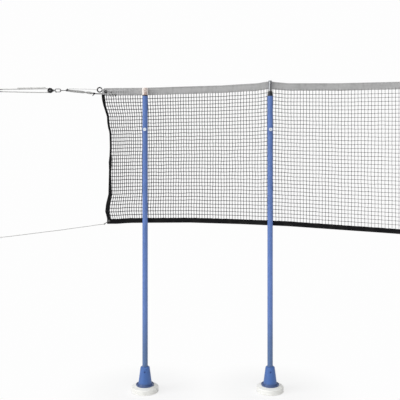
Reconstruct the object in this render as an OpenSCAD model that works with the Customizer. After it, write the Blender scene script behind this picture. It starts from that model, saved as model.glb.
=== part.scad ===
// Net on two weighted telescopic poles, with its tapes, its eyelets and the ropes that hold it taut.
// The origin is the centre of the left base's underside. X runs along the net and Y to its back.

/* [Poles] */
// Distance between the axes of the two poles
pole_gap = 625; // [580:5:760]
// Height of the outer tubes' top ends above the floor
tube_top = 1475; // [1380:5:1520]
// Outer diameter of the outer tubes
tube_d = 27.2; // [25:0.2:30]
// Wall of the outer tubes
tube_wall = 1.5; // [1:0.1:2]
// Outer diameter of the inner tubes
inner_d = 19; // [17:0.2:20]
// Wall of the inner tubes
inner_wall = 1.2; // [0.8:0.1:2]
// Length of the inner tubes
inner_length = 640; // [420:10:800]
// How far the left inner tube stands out of its outer tube
left_rise = 40; // [34:1:60]
// How far the right inner tube stands out of its outer tube
right_rise = 77; // [50:1:110]
// Length of the collar that guides an inner tube, above the outer tube
collar_h = 24; // [12:1:28]
// Length of the bush at the foot of an inner tube
bush_h = 30; // [15:1:60]

/* [Clamps] */
// Height of the clamp knobs above the floor
clamp_z = 1308; // [1150:1:1340]
// Diameter of a clamp knob
knob_d = 17.5; // [15:0.5:26]
// Length of a clamp knob
knob_h = 14; // [10:0.5:20]
// Diameter of a clamp screw
clamp_screw_d = 6; // [4:0.5:7]
// Diameter of the boss that takes the clamp screw
boss_d = 15; // [11:0.5:18]
// How far the boss stands out of the tube
boss_h = 6; // [4:0.5:10]

/* [Bases] */
// Diameter of a base disc
disc_d = 134; // [110:1:180]
// Height of a base disc
disc_h = 26; // [22:1:40]
// Radius of the disc's upper edge
disc_round = 6; // [2:0.5:10]
// How far the disc's top rises from that edge to the cone
dome_h = 5; // [2:0.5:8]
// Wall of the disc's shell
disc_wall = 3.5; // [2:0.5:6]
// Thickness of the rubber pad under a disc
pad_h = 3; // [2:0.5:5]
// Height of the cone over the disc
cone_h = 92; // [75:1:130]
// Diameter of the cone just above its lip
cone_foot_d = 70; // [60:1:90]
// Diameter of the cone at its top
cone_top_d = 45; // [40:1:56]
// Diameter of the cone's lip
lip_d = 89; // [75:1:100]
// Height of the lip's turned-up edge
lip_h = 6; // [4:0.5:8]
// Wall of the cone
cone_wall = 3; // [2:0.5:5]
// Height of the set screw above the cone's foot
set_screw_up = 71; // [40:1:75]
// Diameter of the set screw
set_screw_d = 5; // [4:0.5:7]

/* [Net] */
// Left end of the top tape, from the left pole's axis
net_left = -216; // [-300:1:-120]
// Right end of the net, from the left pole's axis
net_right = 1345; // [1100:5:1500]
// Depth of the net at the left pole
net_depth = 675; // [500:5:760]
// How much deeper the net hangs at its right end
net_fall = 61; // [20:1:90]
// Height of the top tape
tape_h = 37.5; // [28:0.5:60]
// Height of the bottom hem
hem_h = 22.5; // [20:0.5:40]
// Width of the side tapes
side_w = 11; // [8:0.5:20]
// Thickness of one leaf of the folded tapes
leaf = 0.6; // [0.4:0.1:0.8]
// Diameter of the cords in the folds
edge_cord_d = 3; // [2:0.1:3.6]
// Thickness of the netting
net_t = 1.6; // [1:0.1:2]
// Width of the netting's strands
strand_w = 2.4; // [1:0.1:4]
// Number of gaps along the netting
gap_cols = 25; // [10:1:25]
// Number of gaps down the netting
gap_rows = 12; // [5:1:12]
// Inner diameter of the corner eyelets
eyelet_d = 10; // [9:0.5:10]

/* [Rope gear] */
// Diameter of the tackle rope
rope_d = 5; // [3:0.5:6]
// Diameter of the bottom guy rope
guy_d = 3; // [2:0.5:4]
// Diameter of the lashing between the knots
lash_d = 10; // [4:0.5:12]
// Radius of the corner ring, to the middle of its wire
ring_r = 11.5; // [10:0.5:16]
// Diameter of the corner ring's wire
ring_wire = 3.5; // [2.5:0.1:4]
// Width of the tab that holds the corner ring
tab_w = 8; // [6:0.5:10]
// Diameter of the hook's wire
hook_wire = 3.5; // [2.5:0.1:3.6]
// Thickness of the block's cheeks
cheek_t = 1.5; // [1:0.1:2.5]
// Diameter of the block's axle
axle_d = 4; // [3:0.5:6]

/* [Hidden] */
$fn = 64;

tube_blue = "#5f84c2";
cone_blue = "#4469b4";
shell_white = "#f0f0ec";
black = "#1c1c1e";
steel = "#b9bcc0";
tape_grey = "#aeaeae";
rope_grey = "#9d9d9b";

// Clearances
seat = 0.3;       // between pieces that lie against each other
slide_fit = 0.08; // radial, of a piece that slides or turns in another
cord_play = 0.2;  // round a cord in its fold
tube_fit = 0.15;  // radial, of a base part on its tube
past = 1;         // how far a cut runs past the face that it opens

// Poles
tube_r = tube_d / 2;
tube_in_r = tube_r - tube_wall;
inner_r = inner_d / 2;
inner_in_r = inner_r - inner_wall;
tube_foot = disc_h / 2;
plug_h = 30;
collar_plug_h = 20;
collar_foot_r = tube_r - 0.8;
collar_top_r = inner_r + 0.8;
collar_bevel = 0.5;
cap_h = 12;
cap_plug_h = 15;
cap_bevel = 1.5;
groove_down = 9;
groove_w = 2.4;
groove_depth = 1.5;
left_top = tube_top + left_rise;
right_top = tube_top + right_rise;
POLES = [[0, left_top], [pole_gap, right_top]];

// Clamps
screw_r = clamp_screw_d / 2;
knob_seat = tube_r + boss_h + 1.5;
tip_h = 2.4;
knob_flutes = 8;
knob_edge = 2;
knob_dish = 2.5;

// Bases
core_foot = pad_h + seat;
core_top = disc_h - disc_wall - seat;
bolt_r = 4;
bolt_head_r = 6.5;
bolt_head_h = 4;
core_web = 3.5;
cone_foot = disc_h + dome_h;
cone_bevel = 3;
lip_edge = 2;
cone_flare = 8; // height of the cone's flare over its lip
sleeve_wall = 3;
ribs = 6;
rib_t = 2.4;
set_z = cone_foot + set_screw_up;
set_head_r = set_screw_d * 0.85;
set_head_h = 3;
socket_depth = 1.8;
set_boss_r = set_head_r + 3;
tube_fit_r = tube_r + tube_fit;

// Net
fold_gap = edge_cord_d + 2 * cord_play;
tape_t = fold_gap + 2 * leaf;
net_clear = 2;
net_y = tube_r + net_clear + net_t / 2;
edge_cord_in = leaf + cord_play + edge_cord_d / 2;
netting_in = edge_cord_in + edge_cord_d / 2 + 2 * cord_play;
clip_wire = 1.8;
clip_leg = inner_r - groove_depth + seat + clip_wire / 2;
clip_z = right_top - groove_down;
clip_turn = 9;
foot_z = left_top - net_depth;
eyelet_r = eyelet_d / 2;
barrel_r = eyelet_r + 1;
flange_r = eyelet_r + 3.2;
flange_t = 0.8;
eyelet_in = flange_r + 0.8;
side_curve = [[0, 0], [0.1, 12], [0.17, 26], [0.3, 38], [0.42, 38], [0.62, 33],
    [0.8, 31], [0.88, 20], [0.94, 17], [1, 24]];
hem_left = net_left + 24;
top_edge = [
    [net_left, left_top],
    [0, left_top + 2],
    [0.2 * pole_gap, left_top + 6],
    [0.62 * pole_gap, left_top + 14],
    [pole_gap - 60, right_top - 12],
    [pole_gap - 25, right_top - 6],
    [pole_gap, right_top - 2],
    [pole_gap + 25, right_top - 6],
    [pole_gap + 90, right_top - 12],
    [pole_gap + 350, right_top - 12],
    [net_right, right_top - 3]
];
bottom_edge = [
    [hem_left, foot_z - 3],
    [net_left + 150, foot_z],
    [0.36 * pole_gap, foot_z + 1.5],
    [0.76 * pole_gap, foot_z - 6],
    [pole_gap + 90, foot_z - 0.27 * net_fall],
    [net_right - 150, foot_z - 0.82 * net_fall],
    [net_right, foot_z - net_fall]
];
pitch_origin = 3056; // the strands' spacing grows evenly from a point this far left of the left pole
side_reach = 8;      // how fast the netting straightens away from its curved left side

// Corner ring and its cords
tab_over = 8; // how far the ring's tab runs over the tape
tab_t = 1;
tab_gap = tape_t + 2 * seat;
ring_x = net_left - seat - ring_wire / 2 - ring_r;
ring_z = left_top - 8;
tab_x = ring_x + ring_r - seat;
eyelet_x = net_left + tab_over + eyelet_in;
eyelet_z = left_top - eyelet_in - 9;
ring_line_d = 2.5;
tie_d = 5;
corner_knot_r = 6;
corner_knot_at = [-257, 1488];
eye_knot_r = 8;
eye_knot_at = [-392, 1505];

// Snap hook: an oval of wire whose lower side is the gate
block_at = [-478, 1503.5];
shackle_wire = 3;
shackle_r = (rope_d + 2) / 2 + seat + cheek_t + shackle_wire / 2 + 0.1;
shackle_x = block_at[0] + 20;
hook_r = 7.5;
hook_left = shackle_x + shackle_r - (shackle_wire + hook_wire) / 2 - seat + hook_r;
hook_length = 15.5;
hook_right = hook_left + hook_length;
hook_z = block_at[1];
nose = 3;
gate_d = 2.6;
gate_eye_r = 1.8;
fork_r = 3;
fork_w = gate_d + 2 * (seat + 1.2);
rivet_r = 0.9;

// Block
sheave_pitch_r = 9;
sheave_t = rope_d + 2;
sheave_rim_r = sheave_pitch_r + rope_d * 0.3;
groove_r = rope_d / 2 + 0.6;
sheave_bore_r = axle_d / 2 + slide_fit;
cheek_gap = sheave_t + 2 * seat;
cheek_half_h = 6;
shackle_pin_x = block_at[0] + 13;

// End hooks
end_wire = 4;
hook_eye_r = 6;
hook_bow_r = 9;
tackle_knot_at = [-765, 1503];
tackle_knot_r = 9;
guy_knot_r = 4.5;
guy_slack = 0.9; // the bent loop clears the eyelet's rims by less than this
loop_r = 11;
guy_end = [-762, 762];

// Routes of the free cords, as x and z in the plane of the net
tackle_route = [
    [-761.8, 1508.6], [-745, 1508.6], [-700, 1509.5], [-650, 1510], [-600, 1510.7], [-550, 1511.4],
    [-500, 1512.2], [-478, 1512.5], [-473.5, 1511.3], [-470.2, 1508], [-469, 1503.5],
    [-470.2, 1499], [-473.5, 1495.7], [-478, 1494.5], [-500, 1493.7], [-550, 1493.8],
    [-600, 1494.8], [-650, 1495.9], [-700, 1497], [-745, 1498], [-761.8, 1498]
];
guy_route = [
    [-215.2, 846.4], [-240, 836], [-270, 829], [-305, 822], [-365, 812], [-425, 802.5],
    [-485, 795], [-545, 787.5], [-625, 777.5], [-700, 768.5], [-725, 766], [-761.6, 762.3]
];
lashing_route = [[-384.1, 1502.4], [-365, 1500.5], [-340, 1498], [-310, 1495], [-285, 1492], [-263, 1489.2]];
ring_line_route = [
    [-385.6, 1511.2], [-360, 1511.5], [-330, 1511], [-300, 1510.3], [-270, 1509], [-253, 1507.4],
    [-243.3, 1506.4]
];
tie_route = [[-216.5, 1487], [-226, 1486.6], [-238, 1486.8], [-251, 1487.4]];
rope_tail_d = 5;
tail_run = [[-645, 1510.1], [-600, 1510.7], [-550, 1511.4], [-500, 1512.2]];
tail_route = [[-257, 1488], [-260, 1483], [-263, 1479], [-266, 1476]];

// A round tube swept along a route in the plane of the net
function rounds(route, i) =
    let (a = route[max(i - 1, 0)], b = route[min(i + 1, len(route) - 1)], d = b - a)
    [-d[1], d[0]] / norm(d);
module cord(route, d, sides = 8) {
    rings = len(route);
    points = [for (i = [0:rings - 1]) let (n = rounds(route, i)) for (k = [0:sides - 1])
        let (a = 360 * k / sides, side = d / 2 * cos(a), up = d / 2 * sin(a))
        [route[i][0] + n[0] * up, net_y + side, route[i][1] + n[1] * up]];
    walls = [for (i = [0:rings - 2]) for (k = [0:sides - 1])
        let (a = i * sides + k, b = i * sides + (k + 1) % sides)
        each [[a, a + sides, b], [b, a + sides, b + sides]]];
    last = (rings - 1) * sides;
    ends = [for (k = [1:sides - 2]) each [[0, k, k + 1], [last, last + k + 1, last + k]]];
    polyhedron(points, concat(walls, ends), convexity = 6);
}

// An outline in the plane of the net, given a thickness
module flat(points, t) {
    translate([0, net_y + t / 2, 0]) rotate([90, 0, 0]) linear_extrude(t) polygon(points);
}
module at_net(at) {
    translate([at[0], net_y, at[1]]) children();
}
module through_net(at, r, length) {
    at_net(at) rotate([90, 0, 0]) cylinder(r = r, h = length, center = true);
}
module at_pole(side) {
    translate([POLES[side][0], 0, 0]) children();
}

// ---- Bases ----
module base_pad(side) {
    color(black) at_pole(side) cylinder(r = disc_d / 2 - disc_wall - 2, h = pad_h, $fn = 96);
}
module base_core(side) {
    color("#4a4a4c") at_pole(side) difference() {
        translate([0, 0, core_foot]) cylinder(r = disc_d / 2 - disc_wall - 0.5, h = core_top - core_foot);
        translate([0, 0, tube_foot]) cylinder(r = tube_fit_r, h = disc_h);
        cylinder(r = bolt_r + seat, h = disc_h);
        cylinder(r = bolt_head_r + 1.5, h = tube_foot - core_web);
    }
}
module base_disc(side) {
    r = disc_d / 2;
    rim_top = disc_h - disc_round;
    color(shell_white) at_pole(side) difference() {
        rotate_extrude($fn = 96) difference() {
            union() {
                translate([0, pad_h / 2]) square([r, rim_top - pad_h / 2]);
                translate([0, pad_h / 2]) square([r - disc_round, disc_h - pad_h / 2]);
                translate([r - disc_round, rim_top]) circle(r = disc_round);
                polygon([[0, rim_top], [r - disc_round, rim_top], [r - disc_round, disc_h],
                    [lip_d / 2 + lip_edge, cone_foot], [0, cone_foot]]);
            }
            square([r - disc_wall, disc_h - disc_wall]);
        }
        cylinder(r = tube_fit_r, h = 2 * disc_h);
    }
}
function cone_r(up) = (cone_foot_d - (cone_foot_d - cone_top_d) * up / cone_h) / 2;
set_head_at = cone_r(set_screw_up) - set_head_h - 1.2;
module cone_shell() {
    rotate_extrude($fn = 96) difference() {
        polygon([[0, 0], [lip_d / 2 - lip_edge / 2, 0], [lip_d / 2, lip_edge], [lip_d / 2, lip_h],
            [lip_d / 2 - lip_edge, lip_h], [lip_d / 2 - 2 * lip_edge, lip_h / 2],
            [cone_r(0) + 1, lip_h / 2], [cone_r(cone_flare), cone_flare],
            [cone_r(cone_h - cone_bevel), cone_h - cone_bevel], [cone_r(cone_h) - cone_bevel, cone_h],
            [0, cone_h]]);
        polygon([[0, -past], [cone_r(0) - cone_wall, -past],
            [cone_r(cone_h) - cone_wall, cone_h - 2 * cone_wall], [0, cone_h - 2 * cone_wall]]);
    }
}
module base_cone(side) {
    color(cone_blue) at_pole(side) translate([0, 0, cone_foot]) difference() {
        union() {
            cone_shell();
            cylinder(r = tube_fit_r + sleeve_wall, h = cone_h - cone_wall);
            intersection() {
                union() {
                    for (k = [0:ribs - 1]) rotate([0, 0, 360 * (k + 0.5) / ribs])
                        translate([0, -rib_t / 2, 1]) cube([cone_foot_d, rib_t, cone_h - cone_wall - 1]);
                    translate([0, 0, set_screw_up]) rotate([90, 0, 0])
                        cylinder(r = set_boss_r, h = cone_foot_d);
                }
                cylinder(r1 = cone_r(0) - 1, r2 = cone_r(cone_h) - 1, h = cone_h);
            }
        }
        translate([0, 0, -past]) cylinder(r = tube_fit_r, h = cone_h + 2 * past);
        translate([0, 0, set_screw_up]) rotate([90, 0, 0]) {
            cylinder(r = set_screw_d / 2 + 0.1, h = cone_foot_d);
            translate([0, 0, set_head_at - seat]) cylinder(r = set_head_r + seat, h = cone_foot_d);
        }
    }
}
module base_bolts() {
    color(steel) for (side = [0, 1]) at_pole(side) {
        translate([0, 0, tube_foot - core_web - bolt_head_h])
            cylinder(r = bolt_head_r, h = bolt_head_h, $fn = 6);
        translate([0, 0, tube_foot - core_web - past]) cylinder(r = bolt_r, h = plug_h);
    }
}
module base_screws() {
    color(black) for (side = [0, 1]) at_pole(side) translate([0, 0, set_z]) rotate([90, 0, 0]) {
        translate([0, 0, tube_r + seat]) cylinder(r = set_screw_d / 2, h = set_head_at - tube_r);
        translate([0, 0, set_head_at]) difference() {
            cylinder(r = set_head_r, h = set_head_h);
            translate([0, 0, set_head_h - socket_depth])
                cylinder(r = set_screw_d / 3, h = set_head_h, $fn = 6);
        }
    }
}

// ---- Poles ----
module tube_plug(side) {
    color(black) at_pole(side) translate([0, 0, tube_foot]) difference() {
        cylinder(r = tube_in_r, h = plug_h);
        translate([0, 0, -past]) cylinder(r = bolt_r + 0.05, h = plug_h + 2 * past);
    }
}
module outer_tube(side) {
    color(tube_blue) at_pole(side) difference() {
        translate([0, 0, tube_foot]) cylinder(r = tube_r, h = tube_top - tube_foot);
        translate([0, 0, tube_foot - past]) cylinder(r = tube_in_r, h = tube_top - tube_foot + 2 * past);
        translate([0, 0, clamp_z]) rotate([90, 0, 0]) cylinder(r = screw_r + 0.5, h = tube_d);
    }
}
module collar(side) {
    color(black) at_pole(side) translate([0, 0, tube_top]) difference() {
        rotate_extrude() polygon([
            [0, -collar_plug_h], [tube_in_r, -collar_plug_h], [tube_in_r, 0], [collar_foot_r, 0],
            [collar_foot_r, 3], [collar_top_r, collar_h - collar_bevel],
            [collar_top_r - collar_bevel, collar_h], [0, collar_h]]);
        translate([0, 0, -collar_plug_h - past])
            cylinder(r = inner_r + slide_fit, h = collar_plug_h + collar_h + 2 * past);
    }
}
module inner_tube(side) {
    color(steel) at_pole(side) translate([0, 0, POLES[side][1] - inner_length]) difference() {
        cylinder(r = inner_r, h = inner_length - cap_h);
        translate([0, 0, -past]) cylinder(r = inner_in_r, h = inner_length + 2 * past);
    }
}
module inner_bush(side) {
    color(black) at_pole(side) translate([0, 0, POLES[side][1] - inner_length]) difference() {
        translate([0, 0, -2]) cylinder(r = tube_in_r - slide_fit, h = bush_h);
        cylinder(r = inner_r, h = bush_h);
        translate([0, 0, -2 - past]) cylinder(r = inner_in_r, h = bush_h);
    }
}
module inner_cap(side) {
    color("#c8cacc") at_pole(side) translate([0, 0, POLES[side][1]]) rotate_extrude() polygon([
        [0, -cap_h - cap_plug_h], [inner_in_r, -cap_h - cap_plug_h], [inner_in_r, -cap_h], [inner_r, -cap_h],
        [inner_r, -groove_down - groove_w / 2], [inner_r - groove_depth, -groove_down - groove_w / 2],
        [inner_r - groove_depth, -groove_down + groove_w / 2], [inner_r, -groove_down + groove_w / 2],
        [inner_r, -cap_bevel], [inner_r - cap_bevel, 0], [0, 0]]);
}

// ---- Clamps ----
module at_clamp(side) {
    at_pole(side) translate([0, 0, clamp_z]) rotate([90, 0, 0]) children();
}
module clamp_boss(side) {
    color(tube_blue) difference() {
        at_clamp(side) difference() {
            cylinder(r = boss_d / 2, h = tube_r + boss_h);
            cylinder(r = screw_r + slide_fit, h = 2 * tube_d);
        }
        at_pole(side) cylinder(r = tube_r, h = 2 * tube_top);
    }
}
module clamp_knob(side) {
    color(shell_white) at_clamp(side) translate([0, 0, knob_seat]) difference() {
        rotate_extrude() polygon([
            [0, 0], [knob_d / 2 - 3, 0], [knob_d / 2 - 3, 2], [knob_d / 2, 4],
            [knob_d / 2, knob_h - knob_edge], [knob_d / 2 - knob_edge, knob_h],
            [knob_d / 2 - knob_edge - 0.8, knob_h], [knob_d / 4, knob_h - knob_dish],
            [0, knob_h - knob_dish]]);
        for (k = [0:knob_flutes - 1]) rotate([0, 0, 360 * k / knob_flutes])
            translate([knob_d / 2 + 0.9, 0, 2.5]) cylinder(r = 2, h = knob_h);
        translate([0, 0, -past]) cylinder(r = screw_r, h = knob_h / 2 + past);
    }
}
module clamp_screw(side) {
    color(steel) at_clamp(side) translate([0, 0, inner_r + seat + tip_h])
        cylinder(r = screw_r, h = knob_seat + knob_h / 2 - inner_r - seat - tip_h);
}
module clamp_tip(side) {
    color(black) at_clamp(side) translate([0, 0, inner_r + seat]) cylinder(r = screw_r - 0.4, h = tip_h);
}

// ---- Net ----
function top_z(x) = lookup(x, top_edge);
function bottom_z(x) = lookup(x, bottom_edge);
function side_x(v) = net_left + lookup(v, side_curve);
function column_x(u) =
    let (first = net_left + pitch_origin, last = net_right + pitch_origin)
    first * pow(last / first, u) - pitch_origin;
function grid(u, v) =
    let (x = column_x(u) + (side_x(v) - net_left) * pow(1 - u, side_reach))
    [x, (1 - v) * (top_z(x) - tape_h) + v * (bottom_z(x) + hem_h)];
EYELETS = [
    [eyelet_x, eyelet_z],
    [hem_left + eyelet_in, bottom_z(hem_left) + hem_h / 2],
    [net_right - eyelet_in, top_z(net_right) - eyelet_in - 1],
    [net_right - eyelet_in, bottom_z(net_right) + hem_h / 2]
];
module eyelet_holes(r) {
    for (at = EYELETS) through_net(at, r, 2 * tape_t);
}
module clip_holes() {
    for (s = [-1, 1]) through_net([pole_gap + s * clip_leg, clip_z], clip_wire / 2 + seat, 2 * tape_t);
}
// The netting has one opening for each cell of its grid, drawn in by half a strand
function cell(i, j) =
    let (w = strand_w / 2,
        left = i == 0 ? side_w : w, right = i == gap_cols - 1 ? side_w : w,
        a = grid(i / gap_cols, j / gap_rows), b = grid((i + 1) / gap_cols, j / gap_rows),
        c = grid((i + 1) / gap_cols, (j + 1) / gap_rows), d = grid(i / gap_cols, (j + 1) / gap_rows))
    [a + [left, -w], b + [-right, -w], c + [-right, w], d + [left, w]];
module netting() {
    function drawn_in(x, end) = x == end ? leaf + seat : x == net_right ? -leaf - seat : 0;
    top = [for (p = top_edge) p + [drawn_in(p[0], net_left), -netting_in]];
    foot = [for (i = [len(bottom_edge) - 1:-1:0]) let (p = bottom_edge[i])
        p + [drawn_in(p[0], hem_left), netting_in]];
    side = [for (i = [len(side_curve) - 1:-1:0]) let (p = grid(0, side_curve[i][0])) p + [leaf + seat, 0]];
    outline = concat(top, foot, side);
    color("#3a3a3c") difference() {
        translate([0, net_y + net_t / 2, 0]) rotate([90, 0, 0]) linear_extrude(net_t) difference() {
            polygon(outline);
            for (i = [0:gap_cols - 1]) for (j = [0:gap_rows - 1]) polygon(cell(i, j));
        }
        eyelet_holes(barrel_r + seat);
        clip_holes();
    }
}
// A tape folded over the netting's edge: an outline of full thickness with a channel for cord and netting
module top_tape() {
    low = [for (i = [len(top_edge) - 1:-1:0]) top_edge[i] - [0, tape_h]];
    color(tape_grey) difference() {
        flat(concat(top_edge, low), tape_t);
        flat(concat([for (p = top_edge) p - [0, leaf]], [for (p = low) p - [0, past]]), fold_gap);
        eyelet_holes(barrel_r);
        clip_holes();
    }
}
module bottom_hem() {
    high = [for (i = [len(bottom_edge) - 1:-1:0]) bottom_edge[i] + [0, hem_h]];
    color(black) difference() {
        flat(concat(bottom_edge, high), tape_t);
        flat(concat([for (p = bottom_edge) p + [0, leaf]], [for (p = high) p + [0, past]]), fold_gap);
        eyelet_holes(barrel_r);
    }
}
module left_side_tape() {
    turns = len(side_curve) - 1;
    function edge(i) = grid(0, side_curve[i][0]) + [0, i == 0 ? -seat : i == turns ? seat : 0];
    outer = [for (i = [0:turns]) edge(i)];
    inner = [for (i = [turns:-1:0]) edge(i) + [side_w, 0]];
    color(black) difference() {
        flat(concat(outer, inner), tape_t);
        translate([leaf, 0, 0]) flat(concat(outer, inner), net_t + 2 * seat);
    }
}
module right_side_tape() {
    function top(x) = [x, top_z(x) - tape_h - seat];
    function foot(x) = [x, bottom_z(x) + hem_h + seat];
    box = [top(net_right - side_w), top(net_right), foot(net_right), foot(net_right - side_w)];
    color(black) difference() {
        flat(box, tape_t);
        translate([-leaf, 0, 0]) flat(box, net_t + 2 * seat);
    }
}
module edge_cords() {
    color("#e0e0dc") {
        cord([for (p = top_edge) p - [0, edge_cord_in]], edge_cord_d);
        cord([for (p = bottom_edge) p + [0, edge_cord_in]], edge_cord_d);
    }
}
module corner_eyelets() {
    color("#b8a878") for (at = EYELETS) at_net(at) rotate([90, 0, 0]) rotate_extrude() difference() {
        union() {
            for (face = [-tape_t / 2 - flange_t, tape_t / 2])
                translate([0, face]) square([flange_r, flange_t]);
            translate([0, -tape_t / 2]) square([barrel_r, tape_t]);
        }
        translate([0, -tape_t]) square([eyelet_r, 2 * tape_t]);
    }
}
// A pocket of webbing on the tape that drops over the left pole's end
module pole_pocket() {
    wall = 1.4;
    in_r = collar_foot_r + seat;
    foot = tube_top + 5;
    top = left_top + seat;
    back = net_y - tape_t / 2;
    color("#e6d9c8") difference() {
        union() {
            translate([0, 0, foot]) cylinder(r = in_r + wall, h = top + wall - foot);
            translate([-in_r - wall, 0, foot]) cube([2 * (in_r + wall), back, top + wall - foot]);
        }
        translate([0, 0, foot - past]) cylinder(r = in_r, h = top - foot + past);
        translate([-in_r, 0, foot - past]) cube([2 * in_r, back + past, top - foot + past]);
        translate([-disc_d / 2, back, 0]) cube([disc_d, disc_d, 2 * left_top]);
    }
}
// A bent wire that lies in the right cap's groove and holds the tape's cord
module pole_clip() {
    leg = net_y + tape_t / 2 + clip_wire / 2 + seat;
    color(steel) translate([pole_gap, 0, clip_z]) {
        rotate([0, 0, 180]) rotate_extrude(angle = 180)
            translate([clip_leg, 0]) circle(d = clip_wire, $fn = 24);
        for (s = [-1, 1]) translate([s * clip_leg, 0, 0]) {
            rotate([-90, 0, 0]) cylinder(d = clip_wire, h = leg);
            translate([0, leg, 0]) sphere(d = clip_wire);
            translate([0, leg, -clip_turn]) cylinder(d = clip_wire, h = clip_turn);
        }
    }
}

// ---- Corner and lashing ----
module corner_ring() {
    color(steel) at_net([ring_x, ring_z]) rotate([90, 0, 0])
        rotate_extrude() translate([ring_r, 0]) circle(d = ring_wire, $fn = 24);
}
// A tab of webbing, sewn on both faces of the tape's end and folded round the ring
module ring_tab() {
    leg = net_left + tab_over - tab_x;
    color(tape_grey) at_net([tab_x, ring_z]) linear_extrude(tab_w, center = true) difference() {
        union() {
            circle(d = tab_gap + 2 * tab_t);
            translate([0, -tab_gap / 2 - tab_t]) square([leg, tab_gap + 2 * tab_t]);
        }
        circle(d = tab_gap);
        translate([0, -tab_gap / 2]) square([leg + past, tab_gap]);
    }
}
module corner_tie() {
    color(black) cord(tie_route, tie_d);
}
module corner_knot() {
    color(black) {
        at_net(corner_knot_at) sphere(r = corner_knot_r);
        cord(tail_route, tie_d - 1);
    }
}
module lashing() {
    color(rope_grey) cord(lashing_route, lash_d);
}
module ring_line() {
    color("#d4d4d2") cord(ring_line_route, ring_line_d);
}
// An eye of rope through the snap hook, with the knot that closes it
module rope_eye() {
    eye_d = 3.6;
    eye_r = (hook_wire + eye_d) / 2 + seat + cord_play;
    eye_x = hook_right + hook_r;
    color(rope_grey) {
        at_net(eye_knot_at) sphere(r = eye_knot_r);
        at_net([eye_x, hook_z]) {
            rotate([0, 0, 90]) rotate_extrude(angle = 180) translate([eye_r, 0]) circle(d = eye_d, $fn = 24);
            for (s = [-1, 1]) translate([0, s * eye_r, 0]) rotate([0, 90, 0])
                cylinder(d = eye_d, h = eye_knot_at[0] - eye_x);
        }
    }
}

// ---- Snap hook ----
module hook_bend(x, turn) {
    translate([x, 0, 0]) rotate([90, 0, 0]) rotate([0, 0, turn]) rotate_extrude(angle = 180)
        translate([hook_r, 0]) circle(d = hook_wire, $fn = 24);
}
module rivet_line() {
    translate([hook_left, 0, -hook_r]) rotate([90, 0, 0]) children();
}
module snap_hook() {
    color(steel) at_net([0, hook_z]) difference() {
        union() {
            hook_bend(hook_left, 90);
            hook_bend(hook_right, -90);
            translate([hook_left, 0, hook_r]) rotate([0, 90, 0]) cylinder(d = hook_wire, h = hook_length);
            translate([hook_right - nose, 0, -hook_r]) rotate([0, 90, 0]) cylinder(d = hook_wire, h = nose);
            rivet_line() cylinder(r = fork_r, h = fork_w, center = true);
        }
        translate([hook_left - gate_eye_r - seat, -gate_d / 2 - seat, -hook_r - fork_r - past])
            cube([2 * fork_r, gate_d + 2 * seat, 2 * fork_r + 2 * past]);
        rivet_line() cylinder(r = rivet_r, h = 2 * fork_w, center = true, $fn = 24);
    }
}
module hook_gate() {
    color(steel) at_net([0, hook_z]) difference() {
        union() {
            rivet_line() cylinder(r = gate_eye_r, h = gate_d, center = true);
            translate([hook_left, 0, -hook_r]) rotate([0, 90, 0])
                cylinder(d = gate_d, h = hook_length - nose - seat);
        }
        rivet_line() cylinder(r = rivet_r + slide_fit, h = 2 * gate_d, center = true, $fn = 24);
    }
}
module gate_rivet() {
    color(steel) at_net([0, hook_z]) rivet_line() cylinder(r = rivet_r, h = fork_w, center = true, $fn = 24);
}

// ---- Block ----
module block_cheeks() {
    pin_at = shackle_pin_x - block_at[0];
    color(black) at_net(block_at) for (s = [-1, 1]) translate([0, s * (cheek_gap + cheek_t) / 2, 0])
        rotate([90, 0, 0]) linear_extrude(cheek_t, center = true) difference() {
            union() {
                circle(r = sheave_rim_r + 2.5);
                translate([0, -cheek_half_h]) square([pin_at, 2 * cheek_half_h]);
                translate([pin_at, 0]) intersection() {
                    circle(r = cheek_half_h);
                    translate([-past, -cheek_half_h]) square([4 + past, 2 * cheek_half_h]);
                }
            }
            circle(r = axle_d / 2);
            translate([pin_at, 0]) circle(r = shackle_wire / 2 + slide_fit, $fn = 24);
        }
}
// A bow of wire whose ends turn in through the two cheeks
module block_shackle() {
    leg = shackle_x - shackle_pin_x;
    color(steel) at_net([0, block_at[1]]) {
        translate([shackle_x, 0, 0]) rotate([0, 0, -90]) rotate_extrude(angle = 180)
            translate([shackle_r, 0]) circle(d = shackle_wire, $fn = 24);
        for (s = [-1, 1]) translate([shackle_pin_x, s * shackle_r, 0]) {
            rotate([0, 90, 0]) cylinder(d = shackle_wire, h = leg);
            sphere(d = shackle_wire);
            rotate([s * 90, 0, 0]) cylinder(d = shackle_wire, h = shackle_r - cheek_gap / 2);
        }
    }
}
module block_axle() {
    color(steel) at_net(block_at) rotate([90, 0, 0]) {
        cylinder(r = axle_d / 2, h = cheek_gap + 2 * cheek_t, center = true);
        for (s = [-1, 1]) translate([0, 0, s * (cheek_gap / 2 + cheek_t + 0.5)])
            cylinder(r = axle_d / 2 + 1.2, h = 1, center = true);
    }
}
module block_sheave() {
    color("#3c3c40") at_net(block_at) rotate([90, 0, 0]) rotate_extrude() difference() {
        translate([sheave_bore_r, -sheave_t / 2]) square([sheave_rim_r - sheave_bore_r, sheave_t]);
        translate([sheave_pitch_r, 0]) circle(r = groove_r, $fn = 32);
    }
}

// ---- Tackle and guy rope ----
module tackle_rope() {
    color("#c4c4c2") cord(tackle_route, rope_d);
}
// The rope's end, doubled back along the upper run
module rope_tail() {
    color("#dadad8") cord([for (p = tail_run) p + [0, (rope_d + rope_tail_d) / 2 + seat]], rope_tail_d);
}
module tackle_knot() {
    color("#c4c4c2") at_net(tackle_knot_at) rotate([0, 90, 0]) rotate_extrude() intersection() {
        circle(r = tackle_knot_r);
        translate([0, -tackle_knot_r]) square([tackle_knot_r, tackle_knot_r * 4 / 3]);
    }
}
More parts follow.
